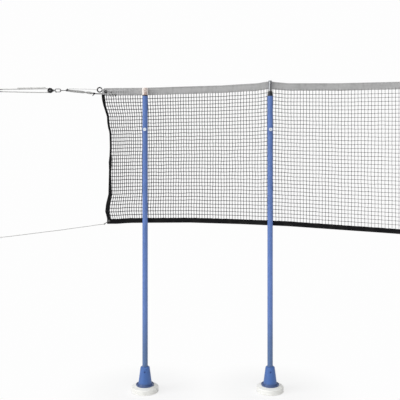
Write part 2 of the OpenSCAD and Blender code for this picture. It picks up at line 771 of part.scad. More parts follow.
// An eye and an open bow in one wire, in the plane of the net
module wire_hook(wire, eye, bow) {
    rotate([90, 0, 0]) {
        rotate_extrude() translate([eye, 0]) circle(d = wire, $fn = 24);
        translate([-eye - bow, 0, 0]) {
            rotate_extrude(angle = 250) translate([bow, 0]) circle(d = wire, $fn = 24);
            rotate([0, 0, 250]) translate([bow, 0, 0]) sphere(d = wire * 1.3);
        }
    }
}
module tackle_hook() {
    color(steel) at_net(tackle_knot_at - [tackle_knot_r + hook_eye_r + end_wire / 2 + seat, 0])
        wire_hook(end_wire, hook_eye_r, hook_bow_r);
}
// A loop of the guy rope through the hem's eyelet, closed by a knot
module guy_eye() {
    x = hem_left + eyelet_in - eyelet_r + guy_d / 2 + guy_slack - loop_r;
    color(rope_grey) at_net([x, bottom_z(hem_left) + hem_h / 2]) {
        rotate_extrude() translate([loop_r, 0]) circle(d = guy_d, $fn = 24);
        translate([-loop_r - guy_knot_r + guy_d / 2, 0, 0]) rotate([0, 90, 0])
            rotate_extrude() intersection() {
                circle(r = guy_knot_r);
                translate([0, -guy_knot_r]) square([guy_knot_r, 2 * guy_knot_r]);
            }
    }
}
module guy_rope() {
    color(rope_grey) cord(guy_route, guy_d);
}
module guy_hook() {
    color(steel) at_net(guy_end - [hook_eye_r + end_wire / 2, 0]) wire_hook(end_wire, hook_eye_r, hook_bow_r);
}

base_pad(0);  // left_base_pad
base_pad(1);  // right_base_pad
base_core(0);  // left_base_core
base_core(1);  // right_base_core
base_disc(0);  // left_base_disc
base_disc(1);  // right_base_disc
base_cone(0);  // left_base_cone
base_cone(1);  // right_base_cone
tube_plug(0);  // left_tube_plug
tube_plug(1);  // right_tube_plug
outer_tube(0);  // left_outer_tube
outer_tube(1);  // right_outer_tube
collar(0);  // left_collar
collar(1);  // right_collar
clamp_boss(0);  // left_clamp_boss
clamp_boss(1);  // right_clamp_boss
base_bolts();
base_screws();
inner_tube(0);  // left_inner_tube
inner_tube(1);  // right_inner_tube
inner_bush(0);  // left_inner_bush
inner_bush(1);  // right_inner_bush
inner_cap(0);  // left_inner_cap
inner_cap(1);  // right_inner_cap
clamp_knob(0);  // left_clamp_knob
clamp_knob(1);  // right_clamp_knob
clamp_screw(0);  // left_clamp_screw
clamp_screw(1);  // right_clamp_screw
clamp_tip(0);  // left_clamp_tip
clamp_tip(1);  // right_clamp_tip
netting();
top_tape();
bottom_hem();
left_side_tape();
right_side_tape();
edge_cords();
corner_eyelets();
pole_pocket();
pole_clip();
ring_tab();
corner_ring();
corner_tie();
corner_knot();
lashing();
ring_line();
rope_eye();
snap_hook();
hook_gate();
gate_rivet();
block_shackle();
block_cheeks();
block_axle();
block_sheave();
tackle_rope();
rope_tail();
tackle_knot();
tackle_hook();
guy_eye();
guy_rope();
guy_hook();
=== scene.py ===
import bpy
import numpy as np
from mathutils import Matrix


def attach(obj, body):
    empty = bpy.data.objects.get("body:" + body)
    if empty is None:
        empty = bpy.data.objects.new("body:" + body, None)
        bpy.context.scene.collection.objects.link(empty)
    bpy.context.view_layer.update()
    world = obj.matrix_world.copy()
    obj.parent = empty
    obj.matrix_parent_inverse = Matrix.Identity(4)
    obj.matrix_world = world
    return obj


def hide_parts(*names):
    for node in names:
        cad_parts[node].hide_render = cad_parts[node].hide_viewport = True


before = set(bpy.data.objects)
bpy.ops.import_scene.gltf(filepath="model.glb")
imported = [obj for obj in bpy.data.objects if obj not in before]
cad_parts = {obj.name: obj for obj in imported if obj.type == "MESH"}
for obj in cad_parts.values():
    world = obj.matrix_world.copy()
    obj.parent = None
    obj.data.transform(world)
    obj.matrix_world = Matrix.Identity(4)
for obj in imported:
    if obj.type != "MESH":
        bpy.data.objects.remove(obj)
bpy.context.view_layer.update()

# ---- Camera ----
# A level view square to the net, from the height of the clamp knobs.
# The lens is shifted down, so that the poles stay upright with their bases in view.
camera = bpy.data.cameras.new("camera")
camera.lens = 62.1
camera.sensor_width = 36
camera.shift_y = -0.175
viewer = bpy.data.objects.new("camera", camera)
viewer.location = (0.2745, -3.45, 1.305)
viewer.rotation_euler = (np.pi / 2, 0, 0)
bpy.context.scene.collection.objects.link(viewer)
bpy.context.scene.camera = viewer

# ---- Tackle rope ----
# One polyester rope, braided over a core, that runs from a knot round the block's sheave and back.
# It hangs in the plane of the net, taut between the net's corner and an anchor out of view.
NET_Y = 0.0164
TACKLE_ROPE_D = 0.005
CARRIERS = 16
BRAID_PITCH = 0.032
HANDLED_X = -0.715  # hands have soiled the rope from here to its knot
TACKLE_ROUTE = [
    (-0.7618, 1.5086), (-0.745, 1.5086), (-0.7, 1.5095), (-0.65, 1.51), (-0.6, 1.5107), (-0.55, 1.5114),
    (-0.5, 1.5122), (-0.478, 1.5125), (-0.4735, 1.5113), (-0.4702, 1.508), (-0.469, 1.5035),
    (-0.4702, 1.499), (-0.4735, 1.4957), (-0.478, 1.4945), (-0.5, 1.4937), (-0.55, 1.4938),
    (-0.6, 1.4948), (-0.65, 1.4959), (-0.7, 1.497), (-0.745, 1.498), (-0.7618, 1.498),
]


def xyz(x, y, z):
    """Points from their coordinates, each an array or one number for all."""
    return np.stack(np.broadcast_arrays(x, y, z), axis=-1)


def in_net_plane(route):
    """A route of (x, z) as points in the plane of the net."""
    x, z = np.array(route).T
    return xyz(x, NET_Y, z)


def lengths_along(path):
    """Distance travelled to each point of a path, along its last axis but one."""
    steps = np.linalg.norm(np.diff(path, axis=-2), axis=-1)
    return np.concatenate([np.zeros_like(steps[..., :1]), np.cumsum(steps, axis=-1)], axis=-1)


def smooth_path(points, step):
    """Points a step apart on Hermite cubics through a route, with slopes taken from the neighbours."""
    at = lengths_along(points)
    slope = np.gradient(points, at, axis=0)
    s = np.linspace(0, at[-1], int(at[-1] / step) + 2)
    i = np.clip(np.searchsorted(at, s, side="right") - 1, 0, len(at) - 2)
    gap = (at[i + 1] - at[i])[:, None]
    t = (s - at[i])[:, None] / gap
    start = (1 + 2 * t) * (1 - t) ** 2 * points[i] + t * (1 - t) ** 2 * gap * slope[i]
    end = t**2 * (3 - 2 * t) * points[i + 1] + t**2 * (t - 1) * gap * slope[i + 1]
    return start + end


def unit(vectors):
    return vectors / np.linalg.norm(vectors, axis=-1, keepdims=True)


def swept(path, radius, sides, up=(0, 1, 0), closed=False):
    """Tubes round one path or a stack of paths: point = path + radius(s, a) * (cos a * u + sin a * v).

    u and v are square to the path, with u towards up. Returns points, quads, end faces and corner UVs,
    where U is the length along the path in metres and V is the share of a turn."""
    along = np.gradient(path, axis=-2)
    if closed:
        along = np.roll(path, -1, axis=-2) - np.roll(path, 1, axis=-2)
    along = unit(along)
    up = np.broadcast_to(np.asarray(up, float), path.shape)
    u = unit(up - (up * along).sum(-1, keepdims=True) * along)
    v = np.cross(along, u)
    turn = np.arange(sides) / sides
    s = lengths_along(path)
    r = np.broadcast_to(radius(s[..., None], 2 * np.pi * turn), s.shape + (sides,))[..., None]
    cos, sin = (f(2 * np.pi * turn)[:, None] for f in (np.cos, np.sin))
    points = path[..., None, :] + r * (cos * u[..., None, :] + sin * v[..., None, :])
    tubes = int(np.prod(path.shape[:-2], dtype=int))
    rings = path.shape[-2]
    counts = tubes, rings - 1 + closed, sides
    tube, i, j = np.meshgrid(*map(np.arange, counts), indexing="ij")
    near, far = (tube * rings + i) * sides, (tube * rings + (i + 1) % rings) * sides
    next_j = (j + 1) % sides
    quads = np.stack([near + j, near + next_j, far + next_j, far + j], axis=-1).reshape(-1, 4)
    first = (np.arange(tubes) * rings * sides)[:, None]
    around = np.arange(sides)
    last = first + (rings - 1) * sides
    ends = [] if closed else (first + around[::-1]).tolist() + (last + around).tolist()
    whole = np.concatenate([s, s[..., -1:] + (s[..., -1:] - s[..., -2:-1])], axis=-1).reshape(tubes, -1)
    corner_s = np.stack([whole[tube, i], whole[tube, i], whole[tube, i + 1], whole[tube, i + 1]], axis=-1)
    corner_a = np.stack([j, j + 1, j + 1, j], axis=-1) / sides
    uv = np.stack([corner_s, corner_a], axis=-1).reshape(-1, 2)
    return points.reshape(-1, 3), quads, ends, uv


def new_piece(name, finish, points, quads, ends=(), uv=None, values=None):
    """A smooth mesh that rides on the net, as all new pieces do. values holds its attributes, by point."""
    mesh = bpy.data.meshes.new(name)
    mesh.from_pydata(points.tolist(), [], quads.tolist() + list(ends))
    if uv is not None:
        corners = np.zeros((len(mesh.loops), 2))
        corners[: len(uv)] = uv
        mesh.uv_layers.new(name="along").data.foreach_set("uv", corners.ravel())
    for key, value in (values or {}).items():
        mesh.attributes.new(key, "FLOAT", "POINT").data.foreach_set("value", value)
    mesh.shade_smooth()
    mesh.materials.append(finish)
    made = bpy.data.objects.new(name, mesh)
    bpy.context.scene.collection.objects.link(made)
    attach(made, "net")
    return made


def new_tube(name, finish, path, radius, sides, up=(0, 1, 0), closed=False, soil=None):
    """A swept tube as a piece. Its crown is 0 in the grooves and 1 on top, and soil is along the path."""
    points, quads, ends, uv = swept(path, radius, sides, up, closed)
    reach = np.linalg.norm(points.reshape(*path.shape[:-1], sides, 3) - path[..., None, :], axis=-1)
    values = {"crown": (reach.ravel() - reach.min()) / (np.ptp(reach) + 1e-9)}
    if soil is not None:
        values["soil"] = np.repeat(soil, sides)
    return new_piece(name, finish, points, quads, ends, uv, values)


def plain(diameter):
    """Radius of a round cord with nothing on its surface."""
    return lambda s, a: diameter / 2


def braid(diameter, carriers, pitch):
    """Radius of a braided sheath: two sets of carriers wind opposite ways and cross over each other."""
    def radius(s, a):
        one = np.cos(carriers * (a - 2 * np.pi * s / pitch) / 2)
        other = np.cos(carriers * (a + 2 * np.pi * s / pitch) / 2)
        return diameter / 2 * (0.94 + 0.06 * np.maximum(one**2, other**2))
    return radius


def linear(hex_colour):
    """sRGB hex to linear RGBA."""
    c = np.array([int(hex_colour[i:i + 2], 16) for i in (1, 3, 5)]) / 255
    return (*np.where(c <= 0.04045, c / 12.92, ((c + 0.055) / 1.055) ** 2.4), 1.0)


def set_inputs(node, inputs):
    """Gives sockets a value, or a link from a socket or from a node's first output in use.

    From and To are pairs, the Min and Max of a range."""
    for name, value in inputs.items():
        if isinstance(value, bpy.types.Node):
            value = next(socket for socket in value.outputs if socket.enabled)
        if isinstance(value, bpy.types.NodeSocket):
            node.id_data.links.new(value, node.inputs[name])
        elif name in ("From", "To"):
            node.inputs[f"{name} Min"].default_value, node.inputs[f"{name} Max"].default_value = value
        else:
            node.inputs[name].default_value = value


def add_node(tree, kind, inputs=(), **settings):
    """Adds a node: settings are its own, and inputs is for its sockets."""
    made = tree.nodes.new("ShaderNode" + kind)
    for name, value in settings.items():
        setattr(made, name, value)
    set_inputs(made, dict(inputs))
    return made


def new_finish(name, constants):
    """A material and the Principled surface in it, with the values that are the same all over."""
    finish = bpy.data.materials.new(name)
    finish.use_nodes = True
    surface = finish.node_tree.nodes["Principled BSDF"]
    set_inputs(surface, constants)
    return finish, finish.node_tree, surface


def rope_finish(name, fibre, groove, fibre_mm=0.35, sheen=0.25, specular=0.5):
    """Rope: filaments with a soft sheen, painted shade with some dirt in the darker grooves where the strands
    meet, and more dirt where the attribute soil says.

    Real filaments are too fine to show: these are about fibre_mm wide on a 5 mm rope, 8 times as long."""
    finish, tree, surface = new_finish(name, {"IOR": 1.5, "Specular IOR Level": specular,
                                              "Sheen Weight": sheen, "Sheen Roughness": 0.5})
    along = add_node(tree, "UVMap", uv_map="along")
    fibres = (1000 / (fibre_mm * 8), 1000 / fibre_mm / 60, 1)
    spread = add_node(tree, "Mapping", {"Vector": along, "Scale": fibres})
    grain = add_node(tree, "TexNoise", {"Vector": spread, "Scale": 1, "Detail": 3, "Roughness": 0.6})
    crown = add_node(tree, "Attribute", attribute_name="crown").outputs["Fac"]
    # Painted shade with some dirt: the darker groove colour where the crown is low, between the strands.
    out_of_groove_shade = add_node(tree, "MapRange", {"Value": crown, "From": (0.0, 0.75)})
    base = add_node(tree, "Mix", {"Factor": out_of_groove_shade, "A": linear(groove), "B": linear(fibre)},
                    data_type="RGBA")
    soil = add_node(tree, "Attribute", attribute_name="soil").outputs["Fac"]
    base = add_node(tree, "Mix", {"Factor": soil, "A": base, "B": linear("#58585a")}, data_type="RGBA")
    tint = add_node(tree, "MapRange", {"Value": grain, "From": (0.3, 0.7), "To": (0.72, 1.08)})
    shade = add_node(tree, "VectorMath", {0: base, 1: tint}, operation="MULTIPLY")
    rough = add_node(tree, "MapRange", {"Value": grain, "To": (0.65, 0.9)})
    bump = add_node(tree, "Bump", {"Height": grain, "Strength": 0.5, "Distance": 0.0002})
    set_inputs(surface, {"Base Color": shade, "Roughness": rough, "Normal": bump})
    return finish


pale_rope = rope_finish("white braided polyester rope, weathered", "#d2d2d0", "#a8a8a9")
tackle_path = smooth_path(in_net_plane(TACKLE_ROUTE), 0.0008)
handled = np.clip((HANDLED_X - tackle_path[:, 0]) / 0.012, 0, 0.85)
tackle_rope = new_tube("tackle_rope_braid", pale_rope, tackle_path,
                       braid(TACKLE_ROPE_D, CARRIERS, BRAID_PITCH), 32, soil=handled)
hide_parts("tackle_rope")

# ---- Rope tail ----
# The rope's spare end, doubled back over the upper run and seized to it in three places.
# It is the same braid, cleaner than the rope, so it reads as a paler band above it.
TAIL_D = 0.005
TAIL_RISE = 0.0053
TAIL_ROUTE = [(-0.645, 1.5101), (-0.62, 1.5104), (-0.6, 1.5107), (-0.575, 1.511), (-0.55, 1.5114),
              (-0.525, 1.5118), (-0.5, 1.5122)]
SEIZING_AT = (-0.636, -0.574, -0.508)
tail_path = smooth_path(in_net_plane([(x, z + TAIL_RISE) for x, z in TAIL_ROUTE]), 0.0008)
tail_rope = rope_finish("soft white rope end", "#dededc", "#b4b4b4")


def worn_end(diameter, length, carriers, pitch):
    """The braid's radius, drawn in to a rounded tip over the last diameter at each end."""
    full = braid(diameter, carriers, pitch)
    def radius(s, a):
        inset = np.clip(np.minimum(s, length - s) / diameter, 0, 1)
        return full(s, a) * np.sqrt(np.clip(1 - (1 - inset) ** 2, 0.04, 1))
    return radius


tail = new_tube("rope_tail_braid", tail_rope, tail_path,
                worn_end(TAIL_D, lengths_along(tail_path)[-1], CARRIERS, BRAID_PITCH), 32)
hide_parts("rope_tail")


SEIZING_TURNS = 7
SEIZING_TWINE_D = 0.0007
seizing_twine = rope_finish("pale waxed twine", "#e2e2e0", "#e2e2e0")


def seizing(name, x):
    """Turns of twine side by side round the rope and its tail at x: a helix along X round an oval."""
    t = np.linspace(0, SEIZING_TURNS, SEIZING_TURNS * 40)
    angle = 2 * np.pi * t
    half_depth = TAIL_D / 2 + SEIZING_TWINE_D / 2
    half_height = (TACKLE_ROPE_D + TAIL_RISE) / 2 + SEIZING_TWINE_D / 2
    middle = np.interp(x, *np.array(TAIL_ROUTE).T) + TAIL_RISE / 2
    path = xyz(x + (t - SEIZING_TURNS / 2) * SEIZING_TWINE_D, NET_Y + half_depth * np.cos(angle),
               middle + half_height * np.sin(angle))
    return new_tube(name, seizing_twine, path, plain(SEIZING_TWINE_D), 6, up=(1, 0, 0))


seizings = [seizing(f"seizing_{k}", x) for k, x in enumerate(SEIZING_AT)]

# ---- Lashing, ring line and corner tie ----
# Two grey three-strand ropes, loosely twisted together, lash the net's corner to the hook.
# A thin pale line above them goes to the ring, which is served with dirty cord except where its tab is.
# A short black cord ties the ropes to the tape's end.
LASHING_STRAND_D = 0.0064
LASHING_TURNS = ((0, 0.012, 0.074, 0.087, 0.099, 0.129), (0.17, 0.21, 0.3, 0.5, 0.66, 1.0))
LASHING_ROUTE = [(-0.3885, 1.5032), (-0.365, 1.5005), (-0.34, 1.498), (-0.31, 1.495), (-0.285, 1.492),
                 (-0.263, 1.4892)]
RING_LINE_D = 0.0025
RING_LINE_ROUTE = [(-0.3885, 1.509), (-0.383, 1.5108), (-0.36, 1.5115), (-0.33, 1.511), (-0.3, 1.5103),
                   (-0.27, 1.509), (-0.253, 1.5074), (-0.2433, 1.5064)]
TIE_D = 0.005
TIE_ROUTE = [(-0.2157, 1.487), (-0.226, 1.4866), (-0.238, 1.4868), (-0.251, 1.4874)]


def laid(diameter, pitch, strands=3):
    """Radius of a laid rope: the outline of round strands that touch, turning once in each pitch."""
    offset = diameter / 2 / (1 + np.sin(np.pi / strands))
    strand = offset * np.sin(np.pi / strands)
    def radius(s, a):
        half = np.pi / strands
        near = (a + 2 * np.pi * s / pitch + half) % (2 * half) - half
        return offset * np.cos(near) + np.sqrt(np.clip(strand**2 - (offset * np.sin(near)) ** 2, 0, None))
    return radius


grey_rope = rope_finish("grey three-strand rope, weathered", "#b0b0ae", "#8c8c8c")
lashing_path = smooth_path(in_net_plane(LASHING_ROUTE), 0.0006)
lashing_at = lengths_along(lashing_path)
twist = 2 * np.pi * np.interp(lashing_at, *LASHING_TURNS)
apart = LASHING_STRAND_D / 2 * np.interp(lashing_at, [0, 0.012], [0.6, 1])
beside = xyz(0, apart * np.cos(twist), apart * np.sin(twist))
lashing = new_tube("lashing_twisted", grey_rope, np.stack([lashing_path + beside, lashing_path - beside]),
                   laid(LASHING_STRAND_D, 0.022), 24)
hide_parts("lashing")
ring_line_path = smooth_path(in_net_plane(RING_LINE_ROUTE), 0.0006)
ring_line = new_tube("ring_line_laid", pale_rope, ring_line_path, laid(RING_LINE_D, 0.009), 18)
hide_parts("ring_line")
RING = (-0.22955, NET_Y, 1.507)
RING_R = 0.0115
RING_WIRE_R = 0.00175
HITCH_D = 0.0018
HITCH_TURNS = 27
HITCH_FROM = 28  # degrees left free on each side of the ring's tab
t = np.linspace(0, 1, HITCH_TURNS * 24)
around = np.radians(HITCH_FROM + (360 - 2 * HITCH_FROM) * t)
spin = 2 * np.pi * HITCH_TURNS * t
hitch_r = RING_WIRE_R + HITCH_D / 2
reach = RING_R + hitch_r * np.cos(spin)
hitch_path = np.array(RING) + xyz(reach * np.cos(around), hitch_r * np.sin(spin), reach * np.sin(around))
dark_rope = rope_finish("grey rope, pulled tight and dirty", "#666667", "#303032")
hitch = new_tube("ring_line_hitch", dark_rope, hitch_path, plain(HITCH_D), 6)
black_cord = rope_finish("black braided nylon cord", "#19191b", "#0e0e10", sheen=0.04, specular=0.2)
tie_path = smooth_path(in_net_plane(TIE_ROUTE), 0.0006)
corner_tie = new_tube("corner_tie_braid", black_cord, tie_path, braid(TIE_D, 12, 0.026), 24)
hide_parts("corner_tie")

# ---- Knots and the rope eye ----
# Each rope ends in an overhand knot pulled tight, drawn as a closed three-lobed curve of the same rope.
# The grey rope's eye, which use has darkened, goes through the snap hook as a flat loop.


def trefoil(t, depth):
    """The closed three-lobed curve of an overhand knot, which reaches 3 from its middle."""
    return xyz(np.sin(t) + 2 * np.sin(2 * t), -depth * np.sin(3 * t), np.cos(t) - 2 * np.cos(2 * t))


def knot(name, finish, centre, size, rope_d, turn):
    """A tight overhand knot: the trefoil, turned, and drawn in until the rope's own surface has the size."""
    t = np.linspace(0, 2 * np.pi, 120, endpoint=False)
    cos, sin = np.cos(turn), np.sin(turn)
    lobes = trefoil(t, 1.4) @ np.array([[cos, 0, -sin], [0, 1, 0], [sin, 0, cos]])
    path = np.array(centre) + lobes / 3 * (size - rope_d / 2)
    outward = path - np.array(centre) + np.array([0, 1e-5, 0])
    return new_tube(name, finish, path, laid(rope_d, 0.02), 18, up=outward, closed=True)


CORNER_KNOT = (-0.257, NET_Y, 1.488)
corner_knot = knot("corner_knot_tied", black_cord, CORNER_KNOT, size=0.0064, rope_d=0.0048, turn=0.4)
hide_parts("corner_knot")
STUB_ROUTE = [(-0.257, 1.488), (-0.26, 1.483), (-0.263, 1.479), (-0.266, 1.476)]
stub_path = smooth_path(in_net_plane(STUB_ROUTE), 0.0006)
stub = new_tube("corner_knot_tail", black_cord, stub_path,
                worn_end(0.004, lengths_along(stub_path)[-1], 12, 0.022), 20)

EYE_KNOT = (-0.392, NET_Y, 1.505)
EYE_D = 0.0036
EYE_R = 0.00405
EYE_FROM = -0.395
EYE_X = -0.42415
EYE_Z = 1.5035
bend = np.linspace(np.pi / 2, 3 * np.pi / 2, 30)
leg = np.linspace(EYE_FROM, EYE_X, 30, endpoint=False)
eye_path = np.concatenate([
    xyz(leg, NET_Y + EYE_R, EYE_Z), xyz(EYE_X + EYE_R * np.cos(bend), NET_Y + EYE_R * np.sin(bend), EYE_Z),
    xyz(leg[::-1], NET_Y - EYE_R, EYE_Z)])
rope_eye = new_tube("rope_eye_loop", dark_rope, eye_path, laid(EYE_D, 0.012), 24, up=(0, 0, 1))
eye_knot = knot("rope_eye_knot", dark_rope, EYE_KNOT, size=0.0084, rope_d=0.0062, turn=1.2)
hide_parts("rope_eye")

TACKLE_KNOT = (-0.765, NET_Y, 1.503)
tackle_knot = knot("tackle_knot_tied", grey_rope, TACKLE_KNOT, size=0.0095, rope_d=0.0072, turn=2.1)
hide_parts("tackle_knot")

# ---- Guy rope ----
# A thin three-strand rope from the hem's corner eyelet, which sags a little on its way to its hook.
# A loop of black cord through the eyelet holds it, closed by a small knot.
GUY_D = 0.003
GUY_ROUTE = [
    (-0.2075, 0.8322), (-0.216, 0.8312), (-0.236, 0.829), (-0.265, 0.8247), (-0.305, 0.819), (-0.365, 0.811),
    (-0.425, 0.8025), (-0.485, 0.795), (-0.545, 0.7875), (-0.625, 0.7775), (-0.7, 0.7685), (-0.725, 0.766),
    (-0.7616, 0.7623),
]
GUY_LOOP_R = 0.011
GUY_LOOP_OUT = 0.0136
GUY_KNOT_OUT = 0.0276
GUY_EYELET = np.array([-0.183, NET_Y, 0.84825])
GUY_PULL = np.array([-0.829, 0, -0.559])  # the way the loop hangs from the eyelet
guy_grey = rope_finish("thin grey rope", "#b4b4b2", "#808082")
guy_path = smooth_path(in_net_plane(GUY_ROUTE), 0.0008)
guy_rope = new_tube("guy_rope_laid", guy_grey, guy_path, laid(GUY_D, 0.011), 18)
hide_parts("guy_rope")
turn = np.linspace(0, 2 * np.pi, 120, endpoint=False)
loop_path = (GUY_EYELET + (GUY_LOOP_OUT + GUY_LOOP_R * np.cos(turn)[:, None]) * GUY_PULL
             + GUY_LOOP_R * np.sin(turn)[:, None] * np.array([0, 1, 0]))
guy_loop = new_tube("guy_loop_laid", black_cord, loop_path, laid(GUY_D, 2 * np.pi * GUY_LOOP_R / 6), 18,
                    up=(GUY_PULL[2], 0, -GUY_PULL[0]), closed=True)
guy_knot = knot("guy_knot_tied", guy_grey, GUY_EYELET + GUY_KNOT_OUT * GUY_PULL, size=0.0048, rope_d=0.0036,
                turn=0.9)
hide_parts("guy_eye")

# ---- Steel hooks and ring ----
# Hooks and corner ring are bent steel wire, zinc plated, dulled in clouds and pitted by small spots of rust.
# The snap hook and its gate are oxidised black, and its rivet is plated and rubbed bright.


def dress(finish, *nodes):
    """Gives CAD nodes a finish."""
    for node in nodes:
        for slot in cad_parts[node].material_slots:
            slot.material = finish


def both(*pieces):
    """The CAD nodes of pieces that the left and the right stand each have."""
    return [f"{side}_{piece}" for piece in pieces for side in ("left", "right")]


def worn_metal(name, bright, dull, rough, spot=None, cloud_mm=7.0, metallic=1.0):
    """Metal with a plating that is cloudy over cloud_mm, fine pits, and spots where their colour is given."""
    finish, tree, surface = new_finish(name, {"Metallic": metallic})
    place = add_node(tree, "TexCoord").outputs["Object"]
    cloud = add_node(tree, "TexNoise", {"Vector": place, "Scale": 1000 / cloud_mm, "Detail": 4,
                                        "Roughness": 0.6})
    pits = add_node(tree, "TexNoise", {"Vector": place, "Scale": 1400, "Detail": 2})  # 0.7 mm
    share = add_node(tree, "MapRange", {"Value": cloud, "From": (0.36, 0.64)})
    colour = add_node(tree, "Mix", {"Factor": share, "A": linear(dull), "B": linear(bright)},
                      data_type="RGBA")
    if spot:
        specks = add_node(tree, "TexNoise", {"Vector": place, "Scale": 420, "Detail": 3,  # 2.4 mm
                                             "Roughness": 0.7})
        where = add_node(tree, "MapRange", {"Value": specks, "From": (0.66, 0.74)})
        colour = add_node(tree, "Mix", {"Factor": where, "A": colour, "B": linear(spot)}, data_type="RGBA")
    roughness = add_node(tree, "MapRange", {"Value": cloud, "From": (0.3, 0.7),
                                            "To": (rough + 0.14, rough - 0.06)})
    bump = add_node(tree, "Bump", {"Height": pits, "Strength": 0.25, "Distance": 0.0001})
    set_inputs(surface, {"Base Color": colour, "Roughness": roughness, "Normal": bump})
    return finish


dull_zinc = worn_metal("dulled zinc-plated steel", "#5c5e62", "#36383b", 0.45, spot="#4a3a30", metallic=0.7)
dress(dull_zinc, "corner_ring", "tackle_hook", "guy_hook")
black_oxide = worn_metal("black-oxidised steel", "#232325", "#141416", 0.45, metallic=0.4)
dress(black_oxide, "snap_hook", "hook_gate")
rubbed_zinc = worn_metal("zinc-plated steel, rubbed bright", "#c4c6c9", "#8f9195", 0.3)
dress(rubbed_zinc, "gate_rivet")

# ---- Pulley block ----
# Two pressed steel cheeks with black paint, a turned steel axle, a bent wire shackle and an acetal sheave.
# The paint has chipped to bare steel in small spots.
black_paint = worn_metal("black-painted pressed steel", "#2c2c2f", "#19191b", 0.45, spot="#6a6a6c",
                         metallic=0.2)
dress(black_paint, "block_cheeks", "block_shackle")
dress(rubbed_zinc, "block_axle")
GRAIN_MM = 0.5


def moulded_plastic(name, colour, rough, soil="#6d6a64", soil_share=0.25, ior=1.5, foot=None):
    """Injection-moulded plastic: a spark-eroded grain, and a little soil in clouds.

    foot is the heights between which a darker foot fades out, painted shade and dust in the soil colour."""
    finish, tree, surface = new_finish(name, {"IOR": ior})
    place = add_node(tree, "TexCoord").outputs["Object"]
    grain = add_node(tree, "TexNoise", {"Vector": place, "Scale": 1000 / GRAIN_MM, "Detail": 2})
    cloud = add_node(tree, "TexNoise", {"Vector": place, "Scale": 28, "Detail": 5,  # 36 mm
                                        "Roughness": 0.65})
    share = add_node(tree, "MapRange", {"Value": cloud, "From": (0.45, 0.8), "To Max": soil_share})
    if foot:
        height = add_node(tree, "SeparateXYZ", {0: place}).outputs[2]
        # Painted shade and dust near the foot: more of the soil colour below the foot heights.
        low = add_node(tree, "MapRange", {"Value": height, "From": foot, "To": (0.75, 0.0)},
                       interpolation_type="SMOOTHSTEP")
        share = add_node(tree, "Math", {0: share, 1: low}, operation="MAXIMUM")
    base = add_node(tree, "Mix", {"Factor": share, "A": linear(colour), "B": linear(soil)},
                    data_type="RGBA")
    roughness = add_node(tree, "MapRange", {"Value": cloud, "From": (0.3, 0.75),
                                            "To": (rough - 0.04, rough + 0.14)})
    bump = add_node(tree, "Bump", {"Height": grain, "Strength": 0.12, "Distance": 0.00008})
    set_inputs(surface, {"Base Color": base, "Roughness": roughness, "Normal": bump})
    return finish


sheave_acetal = moulded_plastic("natural acetal, polished by the rope", "#c9c6bd", 0.3, ior=1.48)
dress(sheave_acetal, "block_sheave")

# ---- Netting ----
# Knotted nylon netting: twisted twine with a sheet bend at every crossing, dyed black and faded.
# Its rows follow the tape and the hem, and its columns widen evenly to the right.
# The twine is drawn as thick as it needs to show, and fuller at the left, where it is drawn together.
NET_LEFT = -0.216
NET_RIGHT = 1.345
TAPE_H = 0.0375
HEM_H = 0.0245
HEM_LEFT = -0.192
TOP_EDGE = ((-0.216, 1.515), (0, 1.517), (0.125, 1.521), (0.3875, 1.529), (0.565, 1.54), (0.6, 1.546),
            (0.625, 1.55), (0.65, 1.546), (0.715, 1.54), (0.975, 1.54), (1.345, 1.549))
BOTTOM_EDGE = ((-0.192, 0.8335), (-0.135, 0.834), (-0.1, 0.837), (-0.066, 0.8385), (0.225, 0.84),
               (0.475, 0.8325), (0.715, 0.822), (1.195, 0.7885), (1.345, 0.7775))
SIDE_CURVE = ((0, -0.0036), (0.02, -0.0026), (0.045, -0.0002), (0.08, 0.0048), (0.12, 0.0132), (0.17, 0.0228),
              (0.22, 0.0246), (0.26, 0.0285), (0.3, 0.0355), (0.42, 0.0375), (0.49, 0.0355), (0.54, 0.0318),
              (0.6, 0.0332), (0.8, 0.0302), (0.88, 0.0182), (0.94, 0.0142), (0.965, 0.019), (1, 0.0242))
SIDE_REACH = 8  # how fast the netting straightens away from its drawn-in left side
SPACING_ORIGIN = 3.056  # the columns' spacing is in proportion to x plus this
FIRST_COLUMN, LAST_COLUMN = NET_LEFT + SPACING_ORIGIN, NET_RIGHT + SPACING_ORIGIN
NET_COLUMNS = 108
NET_ROWS = 35
TWINE_D_LEFT = 0.0034
TWINE_D_RIGHT = 0.002


def height_of(edge, x):
    """Height of a net edge: its corner points joined by straight lines, rounded over 20 mm."""
    along, height = np.array(edge).T
    return sum(np.interp(x + shift, along, height) for shift in np.linspace(-0.01, 0.01, 9)) / 9


def net_grid(u, v):
    """Point of the net: u from its left side to its right, v from the tape's foot to the hem's top.

    Its x grows by the same factor in every column, and the side curve is added to it near the left side."""
    x = FIRST_COLUMN * (LAST_COLUMN / FIRST_COLUMN) ** u - SPACING_ORIGIN
    x = x + np.interp(v, *np.array(SIDE_CURVE).T) * (1 - u) ** SIDE_REACH
    z = (1 - v) * (height_of(TOP_EDGE, x) - TAPE_H) + v * (height_of(BOTTOM_EDGE, x) + HEM_H)
    return xyz(x, NET_Y, z)


def smooth_noise(shape, cells, seed):
    """Noise from -1 to 1 on a grid: random values on a coarse grid of cells, joined smoothly."""
    coarse = np.random.default_rng(seed).uniform(-1, 1, (cells[0] + 1, cells[1] + 1))
    for axis in (0, 1):
        at = np.linspace(0, cells[axis], shape[axis])
        i = np.minimum(at.astype(int), cells[axis] - 1)
        t = at - i
        t = np.expand_dims(t * t * (3 - 2 * t), 1 - axis)
        low, high = np.take(coarse, i, axis=axis), np.take(coarse, i + 1, axis=axis)
        coarse = low + (high - low) * t
    return coarse


